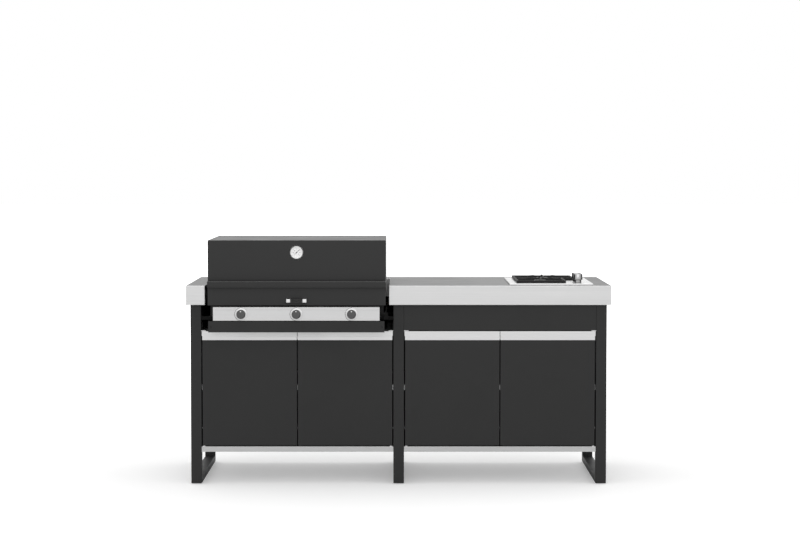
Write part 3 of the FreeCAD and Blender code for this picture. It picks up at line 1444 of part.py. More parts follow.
def check():
    """Stop if an object failed, a cut took nothing away or a piece isn't a sound solid."""
    for thing in doc.Objects:
        if "Invalid" in thing.State or "Error" in thing.State:
            raise RuntimeError(f"{thing.Label} failed: {thing.State}")
    for feature, before in cuts:
        if feature.Shape.Volume > before.Shape.Volume - NEAR:
            raise RuntimeError(f"{feature.Label} cut nothing")
    for label, thing in nodes.items():
        shape = thing.Shape
        if shape.isNull() or not shape.isValid() or not shape.Solids:
            raise RuntimeError(f"{label} is not a sound solid")


def write():
    """Write one STEP file for each node."""
    os.makedirs("parts", exist_ok=True)
    for label, thing in nodes.items():
        thing.Shape.exportStep(os.path.join("parts", thing.Label + ".step"))
        print(label, len(thing.Shape.Solids), "solids")


build()
check()
write()
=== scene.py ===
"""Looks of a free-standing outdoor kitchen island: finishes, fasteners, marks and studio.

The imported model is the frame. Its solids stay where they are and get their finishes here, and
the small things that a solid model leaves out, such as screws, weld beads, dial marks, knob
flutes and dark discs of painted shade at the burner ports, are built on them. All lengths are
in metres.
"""

import logging
import math
from dataclasses import dataclass, field
from enum import Enum

import bmesh
import bpy
from mathutils import Matrix, Vector


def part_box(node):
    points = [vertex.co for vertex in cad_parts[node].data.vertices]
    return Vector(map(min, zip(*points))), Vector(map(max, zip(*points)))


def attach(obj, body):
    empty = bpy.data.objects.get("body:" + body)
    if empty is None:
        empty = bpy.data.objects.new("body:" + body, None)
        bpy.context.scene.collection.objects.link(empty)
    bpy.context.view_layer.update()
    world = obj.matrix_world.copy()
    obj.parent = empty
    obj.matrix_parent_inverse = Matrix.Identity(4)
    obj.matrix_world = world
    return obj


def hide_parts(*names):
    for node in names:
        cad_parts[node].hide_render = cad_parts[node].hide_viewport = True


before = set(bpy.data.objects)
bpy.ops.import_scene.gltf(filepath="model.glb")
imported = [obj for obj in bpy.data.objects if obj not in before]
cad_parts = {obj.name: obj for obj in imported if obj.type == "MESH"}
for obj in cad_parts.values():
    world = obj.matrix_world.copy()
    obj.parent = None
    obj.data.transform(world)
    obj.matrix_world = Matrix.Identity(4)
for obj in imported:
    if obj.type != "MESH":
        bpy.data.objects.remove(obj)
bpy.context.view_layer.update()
REPORT = logging.getLogger("island")
FLOAT, INTEGER, VECTOR = "NodeSocketFloat", "NodeSocketInt", "NodeSocketVector"
GEOMETRY = "NodeSocketGeometry"
SCREW_SEED, BEAD_SEED = 7, 11
Place = tuple[float, float, float]
Colour = tuple[float, float, float, float]
Outline = list[tuple[float, float]]
Coats = tuple[tuple[str, ...], ...]
Inputs = dict[str, object]
Spots = list[tuple[Place, object]]
Piece = bpy.types.Object
Mesh = bpy.types.Mesh
Material = bpy.types.Material
Tree = bpy.types.NodeTree
Node = bpy.types.Node
Socket = bpy.types.NodeSocket
Outputs = bpy.types.bpy_prop_collection


class Run(Enum):
    """The way a brushed metal's fine lines run."""

    ALONG_X = (3.0, 620.0, 620.0)
    ROUND = (240.0, 240.0, 240.0)


class Facing(Enum):
    """The way a small part points, as the turn that carries +Z to it."""

    UP = Matrix.Identity(4)
    FRONT = Matrix.Rotation(math.pi / 2, 4, "X")
    REAR = Matrix.Rotation(-math.pi / 2, 4, "X")
    RIGHT = Matrix.Rotation(math.pi / 2, 4, "Y")
    LEFT = Matrix.Rotation(-math.pi / 2, 4, "Y")

    def aim(self) -> Vector:
        """The direction in which the part points."""
        return (self.value.to_3x3() @ Vector((0, 0, 1))).normalized()


def seat(place: Place, facing: Facing = Facing.UP) -> Matrix:
    """The shift and turn that carry a small part from the origin to its seat."""
    return Matrix.Translation(place) @ facing.value


def middle(node: str) -> Place:
    """The middle of a solid's box."""
    return tuple((low + high) / 2 for low, high in zip(*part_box(node)))


def grey(level: float, warmth: float = 0.0) -> Colour:
    """A near-neutral colour, red raised and blue lowered by its warmth."""
    return (level * (1 + warmth), level, level * (1 - warmth), 1.0)


def new_piece(label: str, data: bpy.types.ID) -> Piece:
    """Puts a mesh, text, lamp or camera into the scene.

    Args:
        label: The object's name.
        data: What it shows.

    Returns:
        The new object.
    """
    piece = bpy.data.objects.new(label, data)
    bpy.context.scene.collection.objects.link(piece)
    return piece


def plain_mesh(holder: Piece) -> Mesh:
    """Turns an object into a plain mesh, with its modifiers carried out.

    Args:
        holder: The object, which is removed.

    Returns:
        The mesh.
    """
    bpy.context.view_layer.update()
    graph = bpy.context.evaluated_depsgraph_get()
    mesh = bpy.data.meshes.new_from_object(holder.evaluated_get(graph))
    holder.modifiers.clear()
    bpy.data.objects.remove(holder)
    return mesh


# Node trees


class Wiring:
    """A node tree under construction, with short calls to add and join nodes."""

    def __init__(self, tree: Tree) -> None:
        """Starts on an emptied tree."""
        self.tree = tree
        self.tree.nodes.clear()

    def fill(self, socket: Socket, value: object) -> None:
        """Joins another node's output to a socket, or sets the socket's own value.

        Args:
            socket: The input that is filled.
            value: The output or the value.
        """
        if isinstance(value, Socket):
            self.tree.links.new(value, socket)
        else:
            socket.default_value = value

    def add(self, kind: str, inputs: dict | None = None, **settings: object) -> Node:
        """Adds a node, sets it up and fills its inputs.

        Args:
            kind: The node's type.
            inputs: Socket name or index to a value or to another node's output.
            settings: Properties of the node.

        Returns:
            The new node.
        """
        node = self.tree.nodes.new(kind)
        for name, value in settings.items():
            setattr(node, name, value)
        for name, value in (inputs or {}).items():
            self.fill(node.inputs[name], value)
        return node

    def effect(self, tree: Tree, **inputs: object) -> Outputs:
        """The outputs of a shared effect, with values or outputs for its own sockets."""
        return self.add("ShaderNodeGroup", inputs, node_tree=tree).outputs

    def math(self, operation: str, *values: object, clamp: bool = False) -> Socket:
        """One step of arithmetic.

        Args:
            operation: The operation's name.
            values: Numbers or outputs.
            clamp: Whether the result is held between 0 and 1.

        Returns:
            The result's output.
        """
        node = self.add("ShaderNodeMath", dict(enumerate(values)), operation=operation)
        node.use_clamp = clamp
        return node.outputs[0]

    def times(self, first: object, second: object) -> Socket:
        """Multiplies two numbers or outputs."""
        return self.math("MULTIPLY", first, second)

    def sloped(self, value: object, slope: object, start: object, clamp: bool = False) -> Socket:
        """A value times a slope, plus a start."""
        return self.math("MULTIPLY_ADD", value, slope, start, clamp=clamp)

    def mix(self, share: object, first: object, second: object) -> Socket:
        """Mixes two colours by the second one's share."""
        node = self.add("ShaderNodeMix", {0: share, 6: first, 7: second}, data_type="RGBA")
        return node.outputs[2]

    def ramp(self, value: Socket, low: float, high: float) -> Socket:
        """Stretches the values from low to high to 0 to 1."""
        node = self.add("ShaderNodeMapRange", {"Value": value, "From Min": low, "From Max": high})
        return node.outputs["Result"]

    def upward(self, normal: Socket, low: float, high: float) -> Socket:
        """How far a normal leans upward, stretched from low to high."""
        lean = self.add("ShaderNodeSeparateXYZ", {0: normal})
        return self.ramp(lean.outputs["Z"], low, high)

    def normal(self, kind: str = "True Normal") -> Socket:
        """The surface's own normal."""
        return self.add("ShaderNodeNewGeometry").outputs[kind]

    def place(self) -> Socket:
        """The place in the object's own coordinates."""
        return self.add("ShaderNodeTexCoord").outputs["Object"]

    def noise(self, place: Socket, scale: object, detail: float, stir: float = 0.0) -> Socket:
        """Cloudy noise at a place, with its scale, its finer layers and its stirring."""
        return self.add("ShaderNodeTexNoise", {"Vector": place, "Scale": scale, "Detail": detail,
                                               "Distortion": stir}).outputs[0]

    def bump(self, strength: object, depth: float, height: Socket, normal: Socket) -> Socket:
        """A normal, roughened by a height of some strength and depth."""
        return self.add("ShaderNodeBump", {"Strength": strength, "Distance": depth,
                                           "Height": height, "Normal": normal}).outputs[0]


class Group(Wiring):
    """A node group under construction, with named sockets."""

    def __init__(self, name: str, inputs: dict[str, str], outputs: dict[str, str],
                 kind: str = "ShaderNodeTree") -> None:
        """Opens the group.

        Args:
            name: The group's name.
            inputs: Socket name to socket type.
            outputs: Socket name to socket type.
            kind: The tree's type.
        """
        super().__init__(bpy.data.node_groups.new(name, kind))
        for way, sockets in (("INPUT", inputs), ("OUTPUT", outputs)):
            for label, socket in sockets.items():
                self.tree.interface.new_socket(name=label, in_out=way, socket_type=socket)
        self.given = self.add("NodeGroupInput").outputs

    def relief(self, height: Socket, depth: float) -> Socket:
        """The given normal, roughened by a height as strongly as the given depth says."""
        return self.bump(self.given["Depth"], depth, height, self.given["Normal"])

    def close(self, **results: Socket) -> Tree:
        """Ends the group with its results and returns its tree."""
        self.add("NodeGroupOutput", results)
        return self.tree


def build_edge_group() -> Tree:
    """Eased edges: the softened normal, and a mask of where the edges are.

    Returns:
        The node group.
    """
    group = Group("eased_edges", {"Radius": FLOAT}, {"Normal": VECTOR, "Mask": FLOAT})
    soft = group.add("ShaderNodeBevel", {"Radius": group.given["Radius"]}, samples=4).outputs[0]
    dot = group.add("ShaderNodeVectorMath", {0: soft, 1: group.normal()},
                    operation="DOT_PRODUCT")
    turned = group.math("SUBTRACT", 1.0, dot.outputs["Value"])
    return group.close(Normal=soft, Mask=group.ramp(turned, 0.01, 0.22))


def build_grain_group() -> Tree:
    """The fine orange peel of a powder coat or the grain of moulded plastic.

    Returns:
        The node group.
    """
    group = Group("coat_grain", {"Scale": FLOAT, "Depth": FLOAT, "Normal": VECTOR},
                  {"Normal": VECTOR, "Tone": FLOAT})
    peel = group.noise(group.place(), group.given["Scale"], 2.0)
    return group.close(Normal=group.relief(peel, 0.0003), Tone=peel)


def build_brush_group() -> Tree:
    """Brushing lines of a drawn or ground metal.

    Returns:
        The node group.
    """
    group = Group("brushed_lines", {"Run": VECTOR, "Depth": FLOAT, "Normal": VECTOR},
                  {"Normal": VECTOR, "Tone": FLOAT})
    stretched = group.add("ShaderNodeVectorMath", {0: group.place(), 1: group.given["Run"]},
                          operation="MULTIPLY").outputs[0]
    fine = group.noise(stretched, 1.6, 3.0)
    broad = group.noise(stretched, 0.16, 2.0)
    tone = group.sloped(broad, 0.4, group.times(fine, 0.6))
    return group.close(Normal=group.relief(tone, 0.0001), Tone=tone)


def build_handling_group() -> Tree:
    """Traces of use: broad smears, and fine dust that settles on upward faces.

    Returns:
        The node group.
    """
    group = Group("handling", {"Scale": FLOAT}, {"Smear": FLOAT, "Dust": FLOAT})
    place = group.place()
    smear = group.noise(place, group.given["Scale"], 5.0, 0.6)
    specks = group.noise(place, 160.0, 3.0)
    dust = group.times(group.ramp(specks, 0.45, 0.75),
                       group.upward(group.normal("Normal"), 0.5, 1.0))
    return group.close(Smear=group.ramp(smear, 0.42, 0.68), Dust=dust)


def build_casting_group() -> Tree:
    """The pitted skin of a casting.

    Returns:
        The node group.
    """
    group = Group("cast_skin", {"Depth": FLOAT, "Normal": VECTOR},
                  {"Normal": VECTOR, "Tone": FLOAT})
    place = group.place()
    pits = group.add("ShaderNodeTexVoronoi", {"Vector": place, "Scale": 700.0})
    rough = group.noise(place, 330.0, 5.0)
    height = group.sloped(pits.outputs["Distance"], 0.45, rough)
    return group.close(Normal=group.relief(height, 0.0005), Tone=rough)


EDGES = build_edge_group()
GRAIN = build_grain_group()
BRUSHING = build_brush_group()
HANDLING = build_handling_group()
CASTING = build_casting_group()


# Finishes


class Surface(Wiring):
    """A material under construction: its shader, eased normal, edge mask and traces of use."""

    def __init__(self, name: str, radius: float, scale: float) -> None:
        """Opens the material.

        Args:
            name: The material's name.
            radius: How far its edges are eased.
            scale: How fine the traces of use are.
        """
        self.material = bpy.data.materials.new(name)
        self.material.use_nodes = True
        super().__init__(self.material.node_tree)
        self.shader = self.add("ShaderNodeBsdfPrincipled")
        self.add("ShaderNodeOutputMaterial", {"Surface": self.shader.outputs[0]})
        self.eased, self.edges = self.effect(EDGES, Radius=radius)
        self.smear, self.dust = self.effect(HANDLING, Scale=scale)


@dataclass(frozen=True)
class Finish:
    """What every finish has in common."""

    name: str
    slot: str
    level: float
    roughness: float
    warmth: float = 0.0
    edge: float = 0.0008
    use_scale: float = 60.0
    smeared: float = 0.10

    def tone(self, share: float = 1.0) -> Colour:
        """The finish's own colour, scaled."""
        return grey(self.level * share, self.warmth)

    def make(self) -> Material:
        """Builds the material.

        Returns:
            The material.
        """
        work = Surface(self.name, self.edge, self.use_scale)
        inputs = {"Normal": work.eased, **self.wire(work)}
        if "Roughness" not in inputs:
            inputs["Roughness"] = work.sloped(work.smear, self.smeared, self.roughness)
        for name, value in inputs.items():
            work.fill(work.shader.inputs[name], value)
        return work.material

    def wire(self, work: Surface) -> Inputs:
        """Wires the finish's own part and returns the shader inputs that it drives."""
        raise NotImplementedError


@dataclass(frozen=True)
class PowderCoat(Finish):
    """A baked coat on sheet or tube, dusty on top, its edges lighter with wear and painted
    highlight.
    """

    grain: float = 1500.0
    depth: float = 0.16
    gloss: float = 0.5
    spread: float = 0.12
    use_scale: float = 5.0
    smeared: float = 0.07
    dust: float = 0.05
    # How much edges lighten, partly wear and partly painted highlight, and a painted highlight on
    # upward-facing edges.
    edge_wear_and_highlight: float = 0.35
    edge_wear_and_highlight_gain: float = 2.6
    edge_wear_and_highlight_level: float | None = None
    top_edge_highlight: float = 0.0

    def wire(self, work: Surface) -> Inputs:
        """Wires the grain, the dust, and the edges lightened by wear and painted highlight.

        Args:
            work: The material's wiring.

        Returns:
            The shader's inputs.
        """
        grain = work.effect(GRAIN, Scale=self.grain, Depth=self.depth, Normal=work.eased)
        coat = work.mix(grain["Tone"], self.tone(1 - self.spread), self.tone(1 + self.spread))
        if self.dust:
            coat = work.mix(work.times(work.dust, self.dust), coat, grey(0.3))
        # Edges mix towards a paler grey: partly wear, partly a painted highlight.
        pale = grey(self.edge_wear_and_highlight_level or self.level * self.edge_wear_and_highlight_gain + 0.01, self.warmth)
        coat = work.mix(work.times(work.edges, self.edge_wear_and_highlight), coat, pale)
        # A painted highlight on edges that face upward, as if lit from above.
        if self.top_edge_highlight:
            top = work.times(work.edges, work.upward(work.eased, 0.1, 0.5))
            coat = work.mix(top, coat, grey(self.top_edge_highlight, self.warmth))
        return {"Base Color": coat, "Normal": grain["Normal"], "Specular IOR Level": self.gloss}


@dataclass(frozen=True)
class Moulded(PowderCoat):
    """Moulded plastic or rubber with a fine spark-eroded grain."""

    grain: float = 2600.0
    depth: float = 0.2
    spread: float = 0.15
    use_scale: float = 40.0
    smeared: float = 0.12
    dust: float = 0.0
    # Edges lighter with wear and painted highlight.
    edge_wear_and_highlight: float = 0.25
    edge_wear_and_highlight_gain: float = 1.8


@dataclass(frozen=True)
class BrushedMetal(Finish):
    """Bare metal with fine lines along one direction."""

    run: Run = Run.ALONG_X
    depth: float = 0.25
    contrast: float = 0.10
    # Painted reflection on top faces: the level seen from above and the level seen at a grazing
    # angle.
    top_reflection_level: float | None = None
    top_grazing_shade_level: float = 0.2
    use_scale: float = 3.5
    smeared: float = 0.06
    smears: float = 0.05
    # Painted highlight along the edges: its share and its lightest level.
    edge_highlight_share: float = 0.7
    edge_highlight_level: float = 0.9
    grazing: float = 1.0

    def wire(self, work: Surface) -> Inputs:
        """Wires the metal's lines and smears, the painted highlight along its edges and, where
        set, the painted reflection on its top faces.

        Args:
            work: The material's wiring.

        Returns:
            The shader's inputs.
        """
        lines = work.effect(BRUSHING, Run=self.run.value, Depth=self.depth,
                            Normal=work.eased)
        base = self.tone()
        # Painted reflection on top faces: darker seen at a grazing angle, lighter seen from
        # above.
        if self.top_reflection_level is not None:
            slant = work.add("ShaderNodeLayerWeight", {"Blend": 0.5}).outputs["Facing"]
            top = work.mix(work.ramp(slant, 0.70, 0.92), grey(self.top_reflection_level, self.warmth),
                           grey(self.top_grazing_shade_level, self.warmth))
            base = work.mix(work.upward(work.normal(), 0.4, 0.95), base, top)
        tone = work.ramp(lines["Tone"], 0.36, 0.64)
        gaps = work.times(work.math("SUBTRACT", 1.0, tone), self.contrast)
        lined = work.mix(gaps, base, grey(0.12, self.warmth))
        dull = work.mix(work.times(work.smear, self.smears), lined, grey(0.25, self.warmth))
        # A painted highlight along the edges.
        bright = grey(min(self.level * 1.45, self.edge_highlight_level), self.warmth)
        rough = work.sloped(tone, 0.08, self.roughness)
        return {"Base Color": work.mix(work.times(work.edges, self.edge_highlight_share), dull, bright),
                "Metallic": 1.0, "Roughness": work.sloped(work.smear, self.smeared, rough),
                "Normal": lines["Normal"], "Specular Tint": grey(self.grazing)}


@dataclass(frozen=True)
class HeatedSteel(Finish):
    """Sheet steel that has been over a flame: straw, brown and blue tints, and soot."""

    tint: float = 0.5
    soot: float = 0.5

    def wire(self, work: Surface) -> Inputs:
        """Wires the heat tints and the soot.

        Args:
            work: The material's wiring.

        Returns:
            The shader's inputs.
        """
        place = work.place()
        tints = work.add("ShaderNodeValToRGB", {0: work.noise(place, 7.0, 3.0, 0.8)})
        ramp = tints.color_ramp.elements
        ramp[0].position, ramp[0].color = 0.30, grey(0.42)
        ramp[1].position, ramp[1].color = 0.75, (0.16, 0.19, 0.27, 1)
        ramp.new(0.48).color = (0.42, 0.31, 0.17, 1)
        ramp.new(0.60).color = (0.25, 0.14, 0.11, 1)
        steel = work.mix(self.tint, self.tone(), tints.outputs[0])
        spots = work.noise(place, 34.0, 6.0)
        sooty = work.times(work.ramp(spots, 0.40, 0.70), self.soot)
        return {"Base Color": work.mix(sooty, steel, grey(0.025)),
                "Roughness": work.sloped(sooty, 0.4, self.roughness, clamp=True),
                "Metallic": work.sloped(sooty, -0.7, 0.95, clamp=True),
                "Normal": work.bump(0.3, 0.0004, spots, work.eased)}


@dataclass(frozen=True)
class CastIron(Finish):
    """Cast iron under a thin satin enamel, its skin pitted and its edges rubbed grey."""

    depth: float = 0.5
    rust: float = 0.1
    gloss: float = 0.5
    use_scale: float = 14.0

    def wire(self, work: Surface) -> Inputs:
        """Wires the casting's skin, rust and rubbed edges.

        Args:
            work: The material's wiring.

        Returns:
            The shader's inputs.
        """
        skin = work.effect(CASTING, Depth=self.depth, Normal=work.eased)
        iron = work.mix(skin["Tone"], grey(self.level * 0.7), grey(self.level * 1.35))
        rusty = work.mix(work.times(work.smear, self.rust), iron, (0.09, 0.045, 0.025, 1))
        return {"Base Color": work.mix(work.times(work.edges, 0.35), rusty, grey(0.13)),
                "Roughness": work.sloped(skin["Tone"], 0.25, self.roughness),
                "Normal": skin["Normal"], "Specular IOR Level": self.gloss}


@dataclass(frozen=True)
class Polished(Finish):
    """Plated or polished metal with faint wipe marks."""

    def wire(self, work: Surface) -> Inputs:
        """Wires the plating's wipe marks and returns the shader inputs."""
        dull = work.times(work.smear, 0.12)
        return {"Base Color": work.mix(dull, self.tone(), self.tone(0.6)), "Metallic": 1.0}


@dataclass(frozen=True)
class TurnedSteel(Finish):
    """Turned and polished steel with a painted reflection: bright where it faces the eye and dark
    at its sides.
    """

    side_reflection_level: float = 0.05
    smeared: float = 0.08

    def wire(self, work: Surface) -> Inputs:
        """Wires the painted reflection that darkens the steel's sides.

        Args:
            work: The material's wiring.

        Returns:
            The shader's inputs.
        """
        # Painted reflection: sides darken as they turn from the eye, upward faces excepted.
        turn = work.add("ShaderNodeLayerWeight", {"Blend": 0.5}).outputs["Facing"]
        flank = work.math("SUBTRACT", 1.0, work.upward(work.normal(), 0.3, 0.8))
        side = work.times(work.ramp(turn, 0.08, 0.34), flank)
        return {"Base Color": work.mix(side, self.tone(), grey(self.side_reflection_level)),
                "Metallic": 1.0}


@dataclass(frozen=True)
class ClearGlass(Finish):
    """The dial's glass, with the faintest wipe marks."""

    use_scale: float = 90.0
    smeared: float = 0.05
    body: float = 0.05

    def wire(self, work: Surface) -> Inputs:
        """Wires nothing of its own and returns the shader inputs of clear glass."""
        return {"Base Color": self.tone(), "IOR": 1.1, "Transmission Weight": 1.0,
                "Alpha": self.body}


@dataclass
class Palette:
    """Every finish of the island, made once and looked up by name."""

    finishes: tuple[Finish, ...] = (
        PowderCoat("black_powder_coat", "black_steel", 0.013, 0.46, gloss=0.36),
        # lid_coat: painted highlight along its edges.
        PowderCoat("lid_coat", "lid_enamel", 0.013, 0.36, grain=1100.0, depth=0.10, gloss=0.40,
                   edge=0.0022, edge_wear_and_highlight=0.7),
        # rim_coat: painted highlight on its upward-facing edges.
        PowderCoat("rim_coat", "lid_enamel", 0.013, 0.36, grain=1100.0, depth=0.10, gloss=0.40,
                   edge=0.0050, edge_wear_and_highlight=0.2, top_edge_highlight=0.22),
        PowderCoat("inner_coat", "black_steel", 0.012, 0.55, edge_wear_and_highlight=0.2, gloss=0.3),
        # worktop_steel: painted highlight along its edges and painted reflection on its top.
        BrushedMetal("worktop_steel", "stainless", 0.70, 0.30, top_reflection_level=0.48,
                     top_grazing_shade_level=0.17, edge=0.0045, edge_highlight_share=1.0, edge_highlight_level=1.0,
                     grazing=0.85),
        BrushedMetal("panel_steel", "stainless", 0.66, 0.27, contrast=0.06),
        BrushedMetal("shelf_steel", "stainless", 0.56, 0.36),
        BrushedMetal("hob_steel", "stainless", 0.80, 0.24, contrast=0.04, smears=0.02),
        BrushedMetal("pull_aluminium", "aluminium_trim", 0.72, 0.30, contrast=0.07,
                     depth=0.15),
        HeatedSteel("grill_steel", "fire_steel", 0.40, 0.38, tint=0.35, soot=0.45),
        HeatedSteel("burner_steel", "fire_steel", 0.50, 0.30, tint=0.7, soot=0.25),
        CastIron("grate_iron", "cast_iron", 0.028, 0.42),
        CastIron("support_iron", "cast_iron", 0.008, 0.46, depth=0.25, rust=0.0, gloss=0.3),
        CastIron("cap_enamel", "cast_iron", 0.007, 0.34, depth=0.06, rust=0.0, gloss=0.3),
        Polished("bright_plating", "bright_steel", 0.78, 0.12),
        TurnedSteel("knob_plating", "bright_steel", 0.48, 0.14),
        BrushedMetal("dial_case_steel", "bright_steel", 0.88, 0.34, contrast=0.03,
                     run=Run.ROUND, smears=0.02),
        BrushedMetal("bezel_steel", "stainless", 0.72, 0.36, contrast=0.07, run=Run.ROUND),
        BrushedMetal("post_steel", "bright_steel", 0.79, 0.30, contrast=0.04, run=Run.ROUND),
        PowderCoat("firebox_enamel", "fire_steel", 0.006, 0.42, edge_wear_and_highlight=0.15, gloss=0.25),
        PowderCoat("shadow_coat", "black_steel", 0.004, 0.60, edge_wear_and_highlight=0.1, gloss=0.12),
        Moulded("knob_plastic", "dark_plastic", 0.040, 0.42),
        Moulded("knob_face", "dark_plastic", 0.070, 0.36, depth=0.08),
        # grip_plastic: painted highlight along its edges.
        Moulded("grip_plastic", "dark_plastic", 0.007, 0.42, gloss=0.3, edge=0.0036,
                edge_wear_and_highlight=1.0, edge_wear_and_highlight_level=0.55),
        Moulded("white_print", "dial_white", 0.97, 0.40, depth=0.04),
        Moulded("grey_print", "dark_plastic", 0.22, 0.5, depth=0.04),
        Moulded("dark_print", "needle_dark", 0.02, 0.45, depth=0.04),
        ClearGlass("dial_glass", "clear_glass", 1.0, 0.01),
        BrushedMetal("gas_brass", "gas_brass", 0.40, 0.34, warmth=0.42, run=Run.ROUND),
        Moulded("glide_rubber", "glide_rubber", 0.022, 0.72, grain=900.0, depth=0.35),
        # Near-black: painted shade standing in for the holes of the burner ports.
        Moulded("recess_black", "needle_dark", 0.004, 0.85, depth=0.1),
        Moulded("ceramic_white", "dial_white", 0.72, 0.25, depth=0.05),
    )
    made: dict[str, Material] = field(default_factory=dict)
    slots: dict[str, str] = field(default_factory=dict)

    def build(self) -> None:
        """Makes all the materials."""
        for finish in self.finishes:
            self.made[finish.name] = finish.make()
            self.slots[finish.name] = finish.slot

    def dress(self, finish: str, *nodes: str) -> None:
        """Gives solids of the frame their finish.

        Args:
            finish: The finish's name.
            nodes: Names of the solids.
        """
        material = self.made[finish]
        for name in nodes:
            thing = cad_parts[name]
            if not thing.material_slots:
                thing.data.materials.append(material)
            for entry in thing.material_slots:
                entry.material = material
            REPORT.info("dressed %s in %s", name, finish)


# Geometry node recipes


class Recipe(Group):
    """A geometry node tree with named inputs, run once for each piece."""

    def __init__(self, name: str, **inputs: str) -> None:
        """Opens the tree.

        Args:
            name: The tree's name.
            inputs: Input name, with _ for a space, to socket type.
        """
        named = {label.replace("_", " "): kind for label, kind in inputs.items()}
        super().__init__(name, {"Geometry": GEOMETRY, **named, "Finish": "NodeSocketMaterial"},
                         {"Geometry": GEOMETRY}, "GeometryNodeTree")

    def vector(self, x: object = 0.0, y: object = 0.0, z: object = 0.0) -> Socket:
        """A vector from its three parts."""
        return self.add("ShaderNodeCombineXYZ", {0: x, 1: y, 2: z}).outputs[0]

    def random(self, low: float, high: float) -> Socket:
        """A random number for each point.

        Args:
            low: The smallest number.
            high: The largest number.

        Returns:
            The number's output.
        """
        node = self.add("FunctionNodeRandomValue", {"Seed": self.given["Seed"]},
                        data_type="FLOAT")
        numbers = {socket.name: socket for socket in node.inputs if socket.type == "VALUE"}
        numbers["Min"].default_value, numbers["Max"].default_value = low, high
        return next(socket for socket in node.outputs if socket.type == "VALUE")

    def aimed(self) -> Socket:
        """The turn that carries +Z to each point's own direction.

        Returns:
            The turn's output.
        """
        aim = self.add("GeometryNodeInputNamedAttribute", {"Name": "aim"},
                       data_type="FLOAT_VECTOR")
        turn = self.add("FunctionNodeAlignRotationToVector", {"Vector": aim.outputs[0]},
                        axis="Z")
        return turn.outputs[0]

    def copies(self, points: Socket, shape: Node, **placing: Socket) -> "Recipe":
        """Ends the tree: a shape on every point, made real, and its finish.

        Args:
            points: The points.
            shape: The node that makes the shape.
            placing: The copies' rotation or scale.

        Returns:
            The recipe itself.
        """
        placed = self.add("GeometryNodeInstanceOnPoints", {
            "Points": points, "Instance": shape.outputs[0], **placing})
        real = self.add("GeometryNodeRealizeInstances", {"Geometry": placed.outputs[0]})
        dressed = self.add("GeometryNodeSetMaterial", {
            "Geometry": real.outputs[0], "Material": self.given["Finish"]})
        self.add("NodeGroupOutput", {0: dressed.outputs[0]})
        return self

    def run(self, label: str, carrier: Mesh, place: Matrix = Facing.UP.value,
            **values: object) -> Piece:
        """Runs the tree on a carrier mesh and keeps the result as a plain mesh.

        Args:
            label: The new piece's name.
            carrier: The mesh that the tree reads.
            place: The piece's place, carried into its mesh.
            values: Input name, with _ for a space, to its value.

        Returns:
            The new piece, at the origin.
        """
        holder = new_piece(label + "_carrier", carrier)
        shape = holder.modifiers.new("shape", "NODES")
        shape.node_group = self.tree
        sockets = {item.name: item.identifier for item in self.tree.interface.items_tree
                   if item.in_out == "INPUT"}
        for name, value in values.items():
            shape[sockets[name.replace("_", " ")]] = value
        mesh = plain_mesh(holder)
        mesh.transform(place)
        mesh.name = label
        return new_piece(label, mesh)


def build_screw_recipe() -> Recipe:
    """Cross-recessed screw heads, one on each point, aimed by the point's own direction.

    Returns:
        The recipe.
    """
    work = Recipe("screw_heads", Radius=FLOAT, Height=FLOAT, Seed=INTEGER)
    radius, height = work.given["Radius"], work.given["Height"]
    head = work.add("GeometryNodeMeshCone", {
        "Vertices": 20, "Radius Top": work.times(radius, 0.66), "Radius Bottom": radius,
        "Depth": height})
    recess = work.add("GeometryNodeMeshBoolean", {"Mesh 1": head.outputs[0]},
                      operation="DIFFERENCE")
    arm, slot = work.times(radius, 1.05), work.times(radius, 0.24)
    for size in (work.vector(arm, slot, height), work.vector(slot, arm, height)):
        blade = work.add("GeometryNodeTransform", {
            "Geometry": work.add("GeometryNodeMeshCube", {"Size": size}).outputs[0],
            "Translation": work.vector(z=height)})
        work.fill(recess.inputs["Mesh 2"], blade.outputs[0])
    rolled = work.add("FunctionNodeRotateRotation", {
        0: work.aimed(), 1: work.vector(z=work.random(0.0, math.pi))}, rotation_space="LOCAL")
    return work.copies(work.given["Geometry"], recess, Rotation=rolled.outputs[0])


def build_ring_recipe() -> Recipe:
    """Small bars set round a circle, such as the marks of a dial or of a knob.

    Returns:
        The recipe.
    """
    work = Recipe("bars_round_a_circle", Count=INTEGER, Radius=FLOAT, Start=FLOAT, Step=FLOAT,
                  Bar=VECTOR, Long_Every=INTEGER, Long_Scale=FLOAT)
    given = work.given
    index = work.add("GeometryNodeInputIndex").outputs[0]
    angle = work.sloped(index, given["Step"], given["Start"])
    place = work.vector(work.times(work.math("COSINE", angle), given["Radius"]),
                        work.times(work.math("SINE", angle), given["Radius"]))
    points = work.add("GeometryNodePoints", {"Count": given["Count"], "Position": place})
    bar = work.add("GeometryNodeMeshCube", {"Size": given["Bar"]})
    is_long = work.math("COMPARE", work.math("MODULO", index, given["Long Every"]), 0.0, 0.1)
    extra = work.math("SUBTRACT", given["Long Scale"], 1.0)
    return work.copies(points.outputs[0], bar, Rotation=work.vector(z=angle),
                       Scale=work.vector(work.sloped(is_long, extra, 1.0), 1.0, 1.0))


def build_bead_recipe() -> Recipe:
    """Overlapping drops in a line between two points, as a weld bead.

    Returns:
        The recipe.
    """
    work = Recipe("weld_bead", Count=INTEGER, First=VECTOR, Last=VECTOR, Drop=FLOAT,
                  Seed=INTEGER)
    line = work.add("GeometryNodeMeshLine", {
        "Count": work.given["Count"], "Start Location": work.given["First"],
        "Offset": work.given["Last"]}, mode="END_POINTS")
    drop = work.add("GeometryNodeMeshIcoSphere", {
        "Radius": work.given["Drop"], "Subdivisions": 2})
    return work.copies(line.outputs[0], drop, Scale=work.random(0.86, 1.12))


